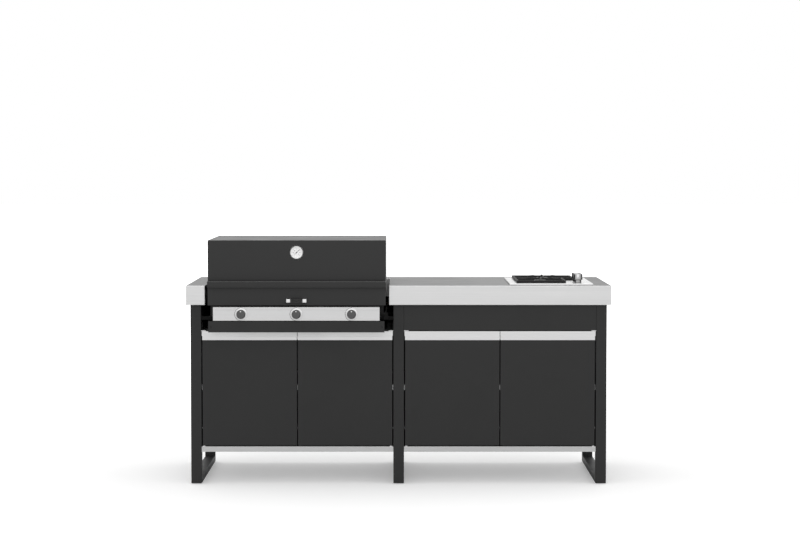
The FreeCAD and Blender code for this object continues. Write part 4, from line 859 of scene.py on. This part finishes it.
def build_port_recipe() -> Recipe:
    """Dark discs in rows along a burner, painted shade where its ports are.

    Returns:
        The recipe.
    """
    work = Recipe("burner_ports", Radius=FLOAT, Height=FLOAT)
    disc = work.add("GeometryNodeMeshCylinder", {
        "Vertices": 10, "Radius": work.given["Radius"], "Depth": work.given["Height"]})
    return work.copies(work.given["Geometry"], disc, Rotation=work.aimed())


SCREWS = build_screw_recipe()
RINGS = build_ring_recipe()
BEADS = build_bead_recipe()
PORTS = build_port_recipe()


# Shapes


def points_mesh(spots: Spots) -> Mesh:
    """A mesh of loose points, each with the direction in which it aims.

    Args:
        spots: Place and direction of each point.

    Returns:
        The mesh.
    """
    mesh = bpy.data.meshes.new("points")
    mesh.from_pydata([place for place, _ in spots], [], [])
    aims = mesh.attributes.new("aim", "FLOAT_VECTOR", "POINT")
    for entry, (_, aim) in zip(aims.data, spots):
        entry.vector = aim
    return mesh


@dataclass(frozen=True)
class Flutes:
    """Rounded grooves along a turned piece."""

    count: int = 1
    depth: float = 0.0
    low: float = 1.0
    high: float = 0.0

    def cut(self, angle: float, height: float) -> float:
        """How far the grooves go in at one point.

        Args:
            angle: The point's angle round the axis.
            height: Its height along the axis.

        Returns:
            The depth there.
        """
        if not self.low <= height <= self.high:
            return 0.0
        return self.depth * (0.5 - 0.5 * math.cos(self.count * angle))


@dataclass(frozen=True)
class Marks:
    """Small bars round a circle.

    Angles are in degrees. A bar's size runs along the radius, round the circle and along
    the axis, and the radius is that of the bars' middles.
    """

    count: int
    radius: float
    start: float
    step: float
    bar: Place
    long_every: int = 1000
    long_scale: float = 1.0

    def inputs(self) -> Inputs:
        """What the recipe for bars round a circle is given.

        Returns:
            Input name, with _ for a space, to its value.
        """
        return {"Count": self.count, "Radius": self.radius, "Start": math.radians(self.start),
                "Step": math.radians(self.step), "Bar": self.bar,
                "Long_Every": self.long_every, "Long_Scale": self.long_scale}


def formed(label: str, form: bmesh.types.BMesh, place: Matrix = Facing.UP.value,
           sharp: float | None = None) -> Piece:
    """Ends a form under construction.

    Args:
        label: The piece's name.
        form: The form, which is freed.
        place: The piece's place, carried into its mesh.
        sharp: The angle in degrees from which an edge stays sharp, or None to leave the
            shading as it is.

    Returns:
        The new piece.
    """
    mesh = bpy.data.meshes.new(label)
    form.to_mesh(mesh)
    form.free()
    mesh.transform(place)
    if sharp is not None:
        mesh.shade_smooth()
        mesh.set_sharp_from_angle(angle=math.radians(sharp))
    return new_piece(label, mesh)


def lathe(label: str, profile: Outline, place: Matrix, steps: int,
          flutes: Flutes = Flutes()) -> Piece:
    """A turned piece from its half outline.

    Args:
        label: The piece's name.
        profile: Radius and height of each ring, from one end of the axis to the other.
        place: The piece's place.
        steps: How many faces go round it.
        flutes: The grooves along it.

    Returns:
        The new piece, with eased shading.
    """
    form = bmesh.new()
    rings = []
    for radius, height in profile:
        ring = []
        for step in range(steps if radius else 1):
            angle = 2 * math.pi * step / steps
            reach = radius - flutes.cut(angle, height) if radius else 0.0
            ring.append(form.verts.new(
                (reach * math.cos(angle), reach * math.sin(angle), height)))
        rings.append(ring)
    for low, high in zip(rings, rings[1:]):
        for step in range(steps):
            after = (step + 1) % steps
            face = list(dict.fromkeys((
                low[step % len(low)], low[after % len(low)], high[after % len(high)],
                high[step % len(high)])))
            if len(face) > 2:
                form.faces.new(face)
    bmesh.ops.remove_doubles(form, verts=form.verts, dist=1e-7)
    bmesh.ops.recalc_face_normals(form, faces=form.faces)
    return formed(label, form, place, 32.0)


def merged(label: str, pieces: list[Piece]) -> Piece:
    """Joins pieces into one.

    Args:
        label: The joined piece's name.
        pieces: What is joined.

    Returns:
        The joined piece.
    """
    form = bmesh.new()
    for piece in pieces:
        form.from_mesh(piece.data)
        bpy.data.objects.remove(piece)
    return formed(label, form)


def eased_box(label: str, low: Place, high: Place, ease: float) -> Piece:
    """A block with rounded edges.

    Args:
        label: The piece's name.
        low: Its lowest corner.
        high: Its highest corner.
        ease: The radius of its edges.

    Returns:
        The new piece.
    """
    form = bmesh.new()
    bmesh.ops.create_cube(form, size=1.0)
    for corner in form.verts:
        for axis in range(3):
            corner.co[axis] = high[axis] if corner.co[axis] > 0 else low[axis]
    bmesh.ops.bevel(form, geom=form.edges[:], offset=ease, segments=3, affect="EDGES",
                    profile=0.5)
    return formed(label, form, sharp=35.0)


# The island


@dataclass
class SubAssembly:
    """One part of the island: it dresses its solids and builds its small pieces."""

    palette: Palette
    coats: Coats = ()
    pieces: list[str] = field(default_factory=list)

    def build(self) -> None:
        """Dresses the solids and adds the small pieces."""
        for finish, *nodes in self.coats:
            self.palette.dress(finish, *nodes)
        self.fit()

    def fit(self) -> None:
        """Adds the small pieces, where the part has any."""

    def keep(self, piece: Piece, body: str, finish: str, *nodes: str) -> None:
        """Gives a new piece its finish and the body that it rides on.

        Args:
            piece: The new piece.
            body: The body's name.
            finish: The finish's name.
            nodes: Names of the solids that the piece stands for.
        """
        if not piece.data.materials:
            piece.data.materials.append(self.palette.made[finish])
        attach(piece, body)
        if nodes:
            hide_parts(*nodes)
        self.pieces.append(piece.name)
        REPORT.info("built %s on %s, %d faces", piece.name, body, len(piece.data.polygons))

    def screws(self, label: str, spots: Spots, body: str = "root",
               finish: str = "black_powder_coat", radius: float = 0.004,
               height: float = 0.0022) -> None:
        """Sets screw heads on faces.

        Args:
            label: The piece's name.
            spots: Place and direction of each screw.
            body: The body that they ride on.
            finish: Their finish.
            radius: The head's radius.
            height: How far it stands proud.
        """
        carrier = points_mesh([(place, facing.aim()) for place, facing in spots])
        self.keep(SCREWS.run(label, carrier, Radius=radius, Height=height, Seed=SCREW_SEED,
                             Finish=self.palette.made[finish]), body, finish)

    def print_marks(self, label: str, place: Matrix, marks: Marks, body: str = "root",
                    finish: str = "grey_print") -> None:
        """Prints marks round a circle.

        Args:
            label: The piece's name.
            place: The circle's place.
            marks: The marks.
            body: The body that they ride on.
            finish: Their finish.
        """
        carrier = bpy.data.meshes.new("carrier")
        self.keep(RINGS.run(label, carrier, place, Finish=self.palette.made[finish],
                            **marks.inputs()), body, finish)


@dataclass
class Stand(SubAssembly):
    """The three frame loops, their rails and glides."""

    coats: Coats = (
        ("black_powder_coat", "frame_left", "frame_middle", "frame_right", "rear_rails"),
        ("glide_rubber", "foot_glides"))
    tube: float = 0.030
    bead_inset: float = 0.0004
    bead_end: float = 0.003
    drop: float = 0.0016
    pitch: float = 0.0017

    def fit(self) -> None:
        """Lays the weld beads in the loops' inner corners."""
        for name in ("frame_left", "frame_middle", "frame_right"):
            low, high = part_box(name)
            for end, y in (("front", low.y + self.tube + self.bead_inset),
                           ("rear", high.y - self.tube - self.bead_inset)):
                for level, z in (("low", low.z + self.tube + self.bead_inset),
                                 ("high", high.z - self.tube - self.bead_inset)):
                    self.bead(f"weld_{name}_{end}_{level}", (low.x + self.bead_end, y, z),
                              (high.x - self.bead_end, y, z))

    def bead(self, label: str, first: Place, last: Place) -> None:
        """Lays a weld bead.

        Args:
            label: The piece's name.
            first: Where it starts.
            last: Where it ends.
        """
        count = max(2, round((Vector(last) - Vector(first)).length / self.pitch))
        finish, carrier = "black_powder_coat", bpy.data.meshes.new("carrier")
        self.keep(BEADS.run(label, carrier, Count=count, First=first, Last=last,
                            Drop=self.drop, Seed=BEAD_SEED,
                            Finish=self.palette.made[finish]), "root", finish)


@dataclass
class Worktop(SubAssembly):
    """The folded worktop and the fascia under it."""

    coats: Coats = (("worktop_steel", "worktop"), ("black_powder_coat", "right_fascia"))


@dataclass
class Cabinets(SubAssembly):
    """Panels, floors and shelves, with their screws and the gas inlets' grommets."""

    coats: Coats = (
        ("inner_coat", "side_panels", "front_angles"),
        ("black_powder_coat", "end_panels", "back_panels"),
        ("shelf_steel", "cabinet_floors", "middle_shelves", "lower_shelves"))
    rows: int = 4
    end_room: float = 0.05
    back_inset: float = 0.025
    side_inset: float = 0.016
    inlet: tuple[float, float] = (0.0135, 0.012)
    hole: float = 0.0088
    flange: float = 0.006

    def heights(self, low: Vector, high: Vector) -> list[float]:
        """The heights of a panel's rows of screws."""
        rise, gaps = high.z - low.z - 2 * self.end_room, self.rows - 1
        return [low.z + self.end_room + rise * row / gaps for row in range(self.rows)]

    def fit(self) -> None:
        """Sets the panels' screws and the grommets."""
        low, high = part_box("back_panels")
        post_low, post_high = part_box("frame_middle")
        spots = []
        for left, right in ((low.x, post_low.x), (post_high.x, high.x)):
            for z in self.heights(low, high):
                spots.append(((left + self.back_inset, high.y, z), Facing.REAR))
                spots.append(((right - self.back_inset, high.y, z), Facing.REAR))
        self.screws("back_panel_screws", spots)
        face = high.y
        low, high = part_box("end_panels")
        self.screws("end_panel_screws", [
            ((x, y, z), facing) for x, facing in ((low.x, Facing.LEFT), (high.x, Facing.RIGHT))
            for y in (low.y + self.side_inset, high.y - self.side_inset)
            for z in self.heights(low, high)])
        self.grommets(face)

    def grommets(self, face: float) -> None:
        """Sets a rubber ring round each gas inlet.

        Args:
            face: The back panels' outer face.
        """
        low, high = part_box("gas_inlets")
        hole, rim = self.hole, self.hole + self.flange
        in_x, in_z = self.inlet
        for number, (x, z) in enumerate(((low.x + in_x, low.z + in_z),
                                         (high.x - in_x, high.z - in_z))):
            ring = lathe(f"gas_grommet_{number}", [
                (hole, 0), (rim, 0), (rim, 0.0008), (rim - 0.0015, 0.0018), (hole, 0.0018),
                (hole, 0)], seat((x, face, z), Facing.REAR), 40)
            self.keep(ring, "root", "glide_rubber")


@dataclass
class Doors(SubAssembly):
    """Four doors with their pulls, pivots, catches and bumpers."""

    coats: Coats = (("bright_plating", "door_pivots", "door_catches"),)
    bumper: float = 0.004
    inset: float = 0.020

    def fit(self) -> None:
        """Dresses the doors and sets the bumpers on their backs."""
        for number in range(1, 5):
            panel = f"door_panel_{number}"
            self.palette.dress("black_powder_coat", panel)
            self.palette.dress("pull_aluminium", f"door_pull_{number}")
            low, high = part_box(panel)
            for end, x in (("a", low.x + self.inset), ("b", high.x - self.inset)):
                stud = lathe(f"door_bumper_{number}_{end}", [
                    (0, 0), (self.bumper, 0), (self.bumper, 0.0008),
                    (self.bumper * 0.7, 0.0017), (0, 0.002)],
                    seat((x, high.y, low.z + self.inset), Facing.REAR), 20)
                self.keep(stud, f"door_{number}", "glide_rubber")


@dataclass
class GrillBody(SubAssembly):
    """Firebox, burners with painted shade at their ports, flame tamers and cooking grates."""

    coats: Coats = (
        ("firebox_enamel", "firebox"), ("grill_steel", "flame_tamers"),
        ("shadow_coat", "grill_bearers"), ("burner_steel", "burner_tubes"),
        ("grate_iron", "cooking_grate_left", "cooking_grate_right"))
    port_radius: float = 0.0012
    port_depth: float = 0.0005
    port_pitch: float = 0.012
    port_slope: float = 62.0
    end_room: float = 0.05

    def fit(self) -> None:
        """Sets dark discs at the burners' ports, painted shade in place of the holes."""
        low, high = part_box("burner_tubes")
        box_low, box_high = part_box("firebox")
        middle_x, _, middle_z = middle("burner_tubes")
        radius, slope = (high.z - low.z) / 2, math.radians(self.port_slope)
        spots = []
        for x in (low.x + radius, middle_x, high.x - radius):
            y = box_low.y + self.end_room
            while y < box_high.y - self.end_room:
                for lean in (-1, 1):
                    aim = Vector((lean * math.cos(slope), 0, math.sin(slope)))
                    spots.append(((x + aim.x * radius, y, middle_z + aim.z * radius), aim))
                y += self.port_pitch
        # Dark discs: painted shade standing in for the port holes.
        ports = PORTS.run("burner_ports", points_mesh(spots), Radius=self.port_radius,
                          Height=self.port_depth, Finish=self.palette.made["recess_black"])
        self.keep(ports, "root", "recess_black")


@dataclass
class Lid(SubAssembly):
    """The hinged lid: hood, rim, front band, handle, hinges and thermometer."""

    coats: Coats = (
        ("lid_coat", "lid_hood", "lid_front_band"), ("rim_coat", "lid_rim"),
        ("post_steel", "lid_handle_posts"), ("dial_case_steel", "thermometer_case"),
        ("grip_plastic", "lid_handle_grip"), ("white_print", "thermometer_dial"),
        ("black_powder_coat", "lid_hinge_arms", "lid_hinge_brackets"),
        ("dial_glass", "thermometer_glass"), ("dark_print", "thermometer_needle"))
    case_wall: float = 0.0025
    play: float = 0.0001
    plate: float = 0.0012
    post: float = 0.001
    probe: float = 0.003
    gasket: tuple[float, float] = (0.003, 0.0024)
    marks: Marks = Marks(31, 0.0212, 225.0, -9.0, (0.0018, 0.00035, 0.0003), 5, 1.7)
    ring: Marks = Marks(90, 0.0118, 0.0, 4.0, (0.0007, 0.0009, 0.0002))
    mark_lift: float = 0.0008
    numerals: tuple[int, ...] = (50, 100, 150, 200, 250, 300, 350)
    numeral_size: float = 0.0042
    numeral_inset: float = 0.0048
    numeral_height: float = 0.0001
    hinge_foot: tuple[float, float] = (0.006, 0.004)
    hinge_screw: tuple[float, float] = (0.0032, 0.0016)

    def fit(self) -> None:
        """Builds the thermometer's pieces and sets the hinges' screws."""
        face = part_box("lid_hood")[0].y
        x, _, z = middle("thermometer_case")
        self.case(face, seat((x, face, z), Facing.FRONT))
        self.dial((x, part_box("thermometer_needle")[1].y + self.mark_lift, z))
        low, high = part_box("lid_hinge_brackets")
        (inset, foot), (radius, height) = self.hinge_foot, self.hinge_screw
        self.screws("hinge_foot_screws", [
            ((x, high.y - inset, low.z + foot), Facing.UP)
            for x in (low.x + inset, high.x - inset)],
            finish="bright_plating", radius=radius, height=height)

    def case(self, face: float, place: Matrix) -> None:
        """Turns the gasket, and the case, dial plate and glass in place of the plain solids.

        Args:
            face: The hood's front face.
            place: The thermometer's seat on it.
        """
        low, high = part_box("thermometer_case")
        outer, depth, tip = (high.x - low.x) / 2, face - low.y, face - high.y
        inner, stem = outer - self.case_wall, self.probe
        width, thick = self.gasket
        self.keep(lathe("thermometer_gasket", [
            (outer - 0.001, 0), (outer + width, 0), (outer + width, thick / 2),
            (outer + width * 0.6, thick), (outer - 0.001, thick), (outer - 0.001, 0)],
            place, 64), "lid", "grip_plastic")
        plate_low, plate_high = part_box("thermometer_dial")
        floor, peak = face - plate_high.y, face - plate_low.y
        self.keep(lathe("thermometer_shell", [
            (0, tip), (stem * 0.4, tip + stem * 0.3), (stem, tip + stem), (stem, 0),
            (outer, 0), (outer, depth * 0.66), (outer - 0.0003, depth * 0.80),
            (outer - 0.0009, depth * 0.92), (outer - 0.0016, depth * 0.985),
            (outer - 0.0021, depth), (inner + 0.0002, depth * 0.98), (inner, depth * 0.92),
            (inner, floor), (0, floor)], place, 128),
            "lid", "dial_case_steel", "thermometer_case")
        top, rim = floor + self.plate, inner - self.play
        self.keep(lathe("thermometer_plate", [
            (0, floor), (rim, floor), (rim, top), (self.post, top), (self.post, peak),
            (0, peak)], place, 128), "lid", "white_print", "thermometer_dial")
        glass_low, glass_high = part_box("thermometer_glass")
        back, front = face - glass_high.y, face - glass_low.y
        self.keep(lathe("thermometer_pane", [
            (0, back), (rim, back), (rim, front - 0.0003), (rim - 0.0003, front),
            (0, front)], place, 128), "lid", "dial_glass", "thermometer_glass")

    def dial(self, centre: Place) -> None:
        """Prints the dial's marks and numerals.

        Args:
            centre: The dial's centre, a little behind the needle.
        """
        place = seat(centre, Facing.FRONT)
        self.print_marks("dial_marks", place, self.marks, "lid")
        self.print_marks("dial_ring", place, self.ring, "lid")
        reach = self.marks.radius - self.numeral_inset
        sweep = self.marks.step * (self.marks.count - 1)
        for step, number in enumerate(self.numerals):
            angle = math.radians(self.marks.start + sweep * step / (len(self.numerals) - 1))
            text = bpy.data.curves.new(f"dial_number_{number}", "FONT")
            text.body = str(number)
            text.size, text.extrude = self.numeral_size, self.numeral_height
            text.align_x = text.align_y = "CENTER"
            mesh = plain_mesh(new_piece(text.name, text))
            mesh.transform(place @ Matrix.Translation(
                (reach * math.cos(angle), reach * math.sin(angle), 0)))
            self.keep(new_piece(text.name, mesh), "lid", "grey_print")


@dataclass
class ControlPanel(SubAssembly):
    """The grill's control panel, bezels, knobs and the gas parts behind it."""

    coats: Coats = (
        ("panel_steel", "control_panel"), ("bezel_steel", "knob_bezels"),
        ("gas_brass", "gas_valves", "gas_inlets"),
        ("shadow_coat", "gas_manifold", "gas_pipes"),
        ("knob_plastic", "grill_knob_left", "grill_knob_middle", "grill_knob_right"))
    bezel: tuple[float, float] = (0.0195, 0.0285)
    scale_gap: float = 0.0042
    scale_bar: Place = (0.0022, 0.0006, 0.0003)
    arc: Marks = Marks(76, 0.0298, 98.0, 2.2, (0.0016, 0.0013, 0.0003), 19, 2.4)
    off_mark: Marks = Marks(1, 0.0328, 90.0, 0.0, (0.0044, 0.0026, 0.0003))
    skirt_rise: float = 0.010
    skirt_lift: float = 0.003
    skirt_step: float = 0.0015
    stem: float = 0.003
    cap_sink: float = 0.0006
    dot_reach: float = 0.0145
    flutes: tuple[int, float] = (36, 0.0008)

    def fit(self) -> None:
        """Prints the marks and turns the bezels and knobs in place of the plain solids."""
        face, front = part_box("control_panel")[0].y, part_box("knob_bezels")[0].y
        depth, (inner, outer) = face - front, self.bezel
        rings = []
        for name in ("left", "middle", "right"):
            node = f"grill_knob_{name}"
            low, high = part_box(node)
            radius = (high.x - low.x) / 2
            x, _, z = middle(node)
            place = seat((x, face, z), Facing.FRONT)
            self.print_marks(
                f"bezel_marks_{name}", seat((x, front, z), Facing.FRONT),
                Marks(19, radius + self.scale_gap, 120.0, 10.0, self.scale_bar, 6, 1.6))
            self.print_marks(f"bezel_arc_{name}", place, self.arc)
            self.print_marks(f"off_mark_{name}", place, self.off_mark, finish="dark_print")
            self.grip(name, place, radius, (face - high.y, face - low.y - self.cap_sink))
            self.cap(name, seat((x, low.y + self.cap_sink, z), Facing.FRONT))
            rings.append(lathe(f"bezel_{name}", [
                (inner, 0), (outer, 0), (outer, depth * 0.5), (outer - 0.0005, depth * 0.9),
                (outer - 0.0010, depth), (inner + 0.0006, depth), (inner, depth * 0.7),
                (inner, 0)], place, 96))
        self.keep(merged("knob_bezel_rings", rings), "root", "bezel_steel", "knob_bezels")

    def grip(self, name: str, place: Matrix, skirt: float, ends: tuple[float, float]) -> None:
        """Turns a knob with a skirt and a fluted grip in place of the plain solid.

        Args:
            name: Which knob.
            place: Its seat on the panel.
            skirt: The skirt's radius.
            ends: How far its back and its top stand from the panel.
        """
        back, top = ends
        grip, stem = skirt - self.skirt_step, self.stem
        lift, rise = self.skirt_lift, self.skirt_rise
        self.keep(lathe(f"knob_grip_{name}", [
            (0, back), (stem, back), (stem, lift), (skirt - 0.0008, lift),
            (skirt, lift + 0.0008), (skirt, rise - 0.0012), (skirt - 0.0006, rise - 0.0003),
            (grip - 0.0006, rise), (grip, rise + 0.0010), (grip, top - 0.0040),
            (grip - 0.0003, top - 0.0020), (grip - 0.0010, top - 0.0007),
            (grip - 0.0020, top), (0, top)], place, 216,
            Flutes(*self.flutes, rise + 0.0005, top - 0.0030)),
            f"knob_{name}", "knob_plastic", f"grill_knob_{name}")

    def cap(self, name: str, place: Matrix) -> None:
        """Sets the lighter face and the white dot in a knob.

        Args:
            name: Which knob.
            place: Where the face lies.
        """
        self.keep(lathe(f"knob_face_{name}", [
            (0.0178, 0.0), (0.0176, 0.0002), (0.0168, 0.00035), (0, 0.00055)], place, 64),
            f"knob_{name}", "knob_face")
        self.keep(lathe(f"knob_dot_{name}", [
            (0.0024, 0.0), (0.0024, 0.0005), (0.0021, 0.0006), (0, 0.0006)],
            place @ Matrix.Translation((0, self.dot_reach, 0)), 24),
            f"knob_{name}", "white_print")


@dataclass
class DripTray(SubAssembly):
    """The drip tray, its front and its runners."""

    coats: Coats = (("black_powder_coat", "drip_tray_front"), ("grill_steel", "drip_tray"),
                    ("inner_coat", "tray_runners"))
    inset: float = 0.012
    drop: float = 0.001
    head: float = 0.0035

    def fit(self) -> None:
        """Sets the screws in the tray's front."""
        low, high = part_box("drip_tray_front")
        z = (low.z + high.z) / 2 - self.drop
        self.screws("tray_front_screws", [
            ((x, low.y, z), Facing.FRONT) for x in (low.x + self.inset, high.x - self.inset)],
            "tray", radius=self.head)


@dataclass
class Hob(SubAssembly):
    """The two-burner hob: plate, burners, pan supports and knobs."""

    coats: Coats = (
        ("hob_steel", "hob_plate"),
        ("support_iron", "pan_support_front", "pan_support_rear", "hob_burners"),
        ("knob_plating", "hob_knob_front", "hob_knob_rear"), ("gas_brass", "hob_valves"))
    seal_width: float = 0.0016
    seal_height: float = 0.0009
    seal_ease: float = 0.0003
    crown: float = 0.033
    cap: float = 0.028
    burner_neck: float = 0.012
    cap_height: float = 0.004
    teeth: tuple[int, float] = (24, 0.0020)
    pin_reach: float = 0.0385
    knob_neck: float = 0.016
    waist: float = 0.016
    knob_lift: float = 0.0015
    knob_stem: float = 0.003
    pointer: Place = (0.0012, 0.006, 0.0165)
    pointer_rise: float = 0.0006
    pointer_depth: float = 0.0011
    pointer_ease: float = 0.0004
    marks: Marks = Marks(11, 0.0265, 270.0, 20.0, (0.0022, 0.0007, 0.0002), 5, 1.8)

    def fit(self) -> None:
        """Adds seal, burners, igniters and knobs."""
        self.seal()
        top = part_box("hob_plate")[1].z
        places = {}
        for name in ("front", "rear"):
            x, y, _ = middle(f"pan_support_{name}")
            places[name] = (x, y, top)
        self.burners(places, top)
        for body, name in (("hob_knob_a", "front"), ("hob_knob_b", "rear")):
            self.knob(body, name, top)
        self.igniters(places)
        for name in ("front", "rear"):
            x, y, _ = middle(f"hob_knob_{name}")
            self.print_marks(f"hob_marks_{name}", seat((x, y, top)), self.marks,
                             finish="dark_print")

    def burners(self, places: dict[str, Place], top: float) -> None:
        """Turns the burners' toothed crowns and their enamelled caps.

        Args:
            places: Each burner's place on the plate.
            top: The plate's height.
        """
        low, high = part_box("hob_burners")
        crown, neck, cap = self.crown, self.burner_neck, self.cap
        foot, peak = low.z - top, high.z - top
        rise = peak - self.cap_height
        crowns = [lathe(f"crown_{name}", [
            (0, foot), (neck, foot), (neck, 0), (crown - 0.0005, 0), (crown, 0.0006),
            (crown, rise - 0.0016), (crown - 0.0022, rise), (0, rise)], seat(place), 192,
            Flutes(*self.teeth, 0.0003, rise - 0.0010)) for name, place in places.items()]
        self.keep(merged("hob_crowns", crowns), "root", "support_iron", "hob_burners")
        caps = [lathe(f"cap_{name}", [
            (0, rise), (cap - 0.0012, rise), (cap, rise + 0.0006), (cap, rise + 0.0020),
            (cap - 0.0010, peak - 0.0008), (cap - 0.0035, peak - 0.0002),
            (cap * 0.4, peak), (0, peak)], seat(place), 96) for name, place in places.items()]
        self.keep(merged("hob_caps", caps), "root", "cap_enamel", "hob_burners")

    def knob(self, body: str, name: str, top: float) -> None:
        """Turns a waisted steel knob, with a dark pointer on its top.

        Args:
            body: The body that it rides on.
            name: Which knob.
            top: The plate's height.
        """
        low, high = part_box(f"hob_knob_{name}")
        x, y, _ = middle(f"hob_knob_{name}")
        grip, foot, peak = (high.x - low.x) / 2, low.z - top, high.z - top - self.pointer_rise
        neck, waist, lift, stem = self.knob_neck, self.waist, self.knob_lift, self.knob_stem
        self.keep(lathe(f"hob_knob_turned_{name}", [
            (0, foot), (stem, foot), (stem, lift), (neck - 0.0008, lift),
            (neck, lift + 0.0008), (neck, waist - 0.0018), (neck + 0.0012, waist - 0.0004),
            (grip - 0.0010, waist), (grip, waist + 0.0010), (grip, peak - 0.0026),
            (grip - 0.0005, peak - 0.0011), (grip - 0.0014, peak - 0.0003),
            (grip - 0.0024, peak), (0, peak)], seat((x, y, top)), 96),
            body, "knob_plating", f"hob_knob_{name}")
        half, near, far = self.pointer
        self.keep(eased_box(
            f"hob_pointer_{name}", (x - half, y - far, high.z - self.pointer_depth),
            (x + half, y - near, high.z), self.pointer_ease), body, "dark_print")

    def seal(self) -> None:
        """Lays the thin dark seal between the plate and the worktop."""
        low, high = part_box("hob_plate")
        width, out = self.seal_width, self.seal_width / 2
        for name, left, front, right, rear in (
                ("front", low.x, low.y, high.x, low.y + width),
                ("rear", low.x, high.y - width, high.x, high.y),
                ("left", low.x, low.y, low.x + width, high.y),
                ("right", high.x - width, low.y, high.x, high.y)):
            self.keep(eased_box(
                f"hob_seal_{name}", (left - out, front - out, low.z),
                (right + out, rear + out, low.z + self.seal_height), self.seal_ease),
                "root", "glide_rubber")

    def igniters(self, places: dict[str, Place]) -> None:
        """Stands a spark pin and a flame sensor beside each burner.

        Args:
            places: Each burner's place on the plate.
        """
        for name, (x, y, z) in places.items():
            for kind, angle, finish in (("spark", 225.0, "ceramic_white"),
                                        ("sensor", 315.0, "bright_plating")):
                turn = math.radians(angle)
                pin = lathe(f"hob_{kind}_{name}", [
                    (0, 0), (0.0028, 0), (0.0028, 0.0035), (0.0016, 0.0042), (0.0016, 0.0075),
                    (0.0006, 0.0078), (0.0006, 0.0098), (0, 0.0100)],
                    seat((x + self.pin_reach * math.cos(turn),
                          y + self.pin_reach * math.sin(turn), z)), 20)
                self.keep(pin, "root", finish)


@dataclass
class Studio:
    """Camera, floor, lamps and surroundings."""

    lens: float = 90.0
    sensor: float = 36.0
    pitch: float = 3.025
    eye: Place = (0.0063, -9.6315, 1.515)
    sight: float = 300.0
    floor_reach: float = 60.0
    shadow: tuple[float, float] = (1.2, 7.0)
    floor_tone: float = 0.82
    floor_glow: float = 0.30
    surround: float = 0.80
    front_power: float = 120.0
    top_power: float = 60.0
    aim: Place = (0.0, 0.0, 0.6)

    def build(self) -> None:
        """Sets up the studio."""
        self.camera()
        self.floor()
        self.surroundings()
        self.lamp("front_softbox", (0.0, -8.5, 4.2), (9.0, 5.0), self.front_power)
        self.lamp("top_softbox", (0.0, 0.5, 5.5), (6.0, 4.0), self.top_power)

    def camera(self) -> None:
        """Places the camera at the photograph's viewing angle."""
        data = bpy.data.cameras.new("camera")
        data.lens, data.sensor_width, data.sensor_fit = self.lens, self.sensor, "HORIZONTAL"
        data.clip_end = self.sight
        camera = new_piece("camera", data)
        camera.location = self.eye
        camera.rotation_euler = (math.radians(90 - self.pitch), 0, 0)
        bpy.context.scene.camera = camera

    def lamp(self, name: str, place: Place, size: tuple[float, float], power: float) -> None:
        """Hangs a soft box that faces the island.

        Args:
            name: The lamp's name.
            place: Where it hangs.
            size: Its width and height.
            power: Its power.
        """
        data = bpy.data.lights.new(name, "AREA")
        data.shape, data.energy = "RECTANGLE", power
        data.size, data.size_y = size
        lamp = new_piece(name, data)
        lamp.location = place
        lamp.visible_camera = False
        sight = Vector(self.aim) - Vector(place)
        lamp.rotation_euler = sight.to_track_quat("-Z", "Y").to_euler()

    def floor(self) -> None:
        """Lays a plain pale floor that keeps the island's shadow."""
        mesh = bpy.data.meshes.new("studio_floor")
        reach, (near, far) = self.floor_reach, self.shadow
        mesh.from_pydata([(-reach, -reach, 0), (reach, -reach, 0), (reach, reach, 0),
                          (-reach, reach, 0)], [], [(0, 1, 2, 3)])
        material = bpy.data.materials.new("studio_floor")
        material.use_nodes = True
        wiring = Wiring(material.node_tree)
        away = wiring.add("ShaderNodeVectorMath", {0: wiring.place()}, operation="LENGTH")
        fade = wiring.add("ShaderNodeMapRange", {
            "Value": away.outputs["Value"], "From Min": near, "From Max": far,
            "To Min": self.floor_glow, "To Max": 1.0}, interpolation_type="SMOOTHSTEP")
        seen = wiring.add("ShaderNodeLightPath").outputs["Is Camera Ray"]
        shader = wiring.add("ShaderNodeBsdfPrincipled", {
            "Base Color": grey(self.floor_tone), "Roughness": 0.9, "Specular IOR Level": 0.1,
            "Emission Color": grey(1.0),
            "Emission Strength": wiring.times(seen, fade.outputs["Result"])})
        wiring.add("ShaderNodeOutputMaterial", {"Surface": shader.outputs[0]})
        mesh.materials.append(material)
        new_piece("studio_floor", mesh)

    def surroundings(self) -> None:
        """White surroundings for the eye and for reflections, softer as a light."""
        world = bpy.data.worlds.new("studio")
        world.use_nodes = True
        wiring = Wiring(world.node_tree)
        rays = wiring.add("ShaderNodeLightPath").outputs
        mirrored = wiring.math("MAXIMUM", rays["Is Glossy Ray"], rays["Is Transmission Ray"])
        seen = wiring.math("MAXIMUM", rays["Is Camera Ray"], mirrored)
        back = wiring.add("ShaderNodeBackground", {
            "Color": grey(1.0),
            "Strength": wiring.sloped(seen, 1.0 - self.surround, self.surround)})
        wiring.add("ShaderNodeOutputWorld", {"Surface": back.outputs[0]})
        bpy.context.scene.world = world
        bpy.context.scene.view_settings.view_transform = "Standard"


def main() -> None:
    """Builds the studio and every sub-assembly in order."""
    logging.basicConfig(level=logging.INFO, format="%(message)s")
    Studio().build()
    palette = Palette()
    palette.build()
    for kind in (Stand, Worktop, Cabinets, Doors, GrillBody, Lid, ControlPanel, DripTray, Hob):
        part = kind(palette)
        part.build()
        REPORT.info("%s: %d new pieces", kind.__name__, len(part.pieces))


if __name__ == "__main__":
    main()
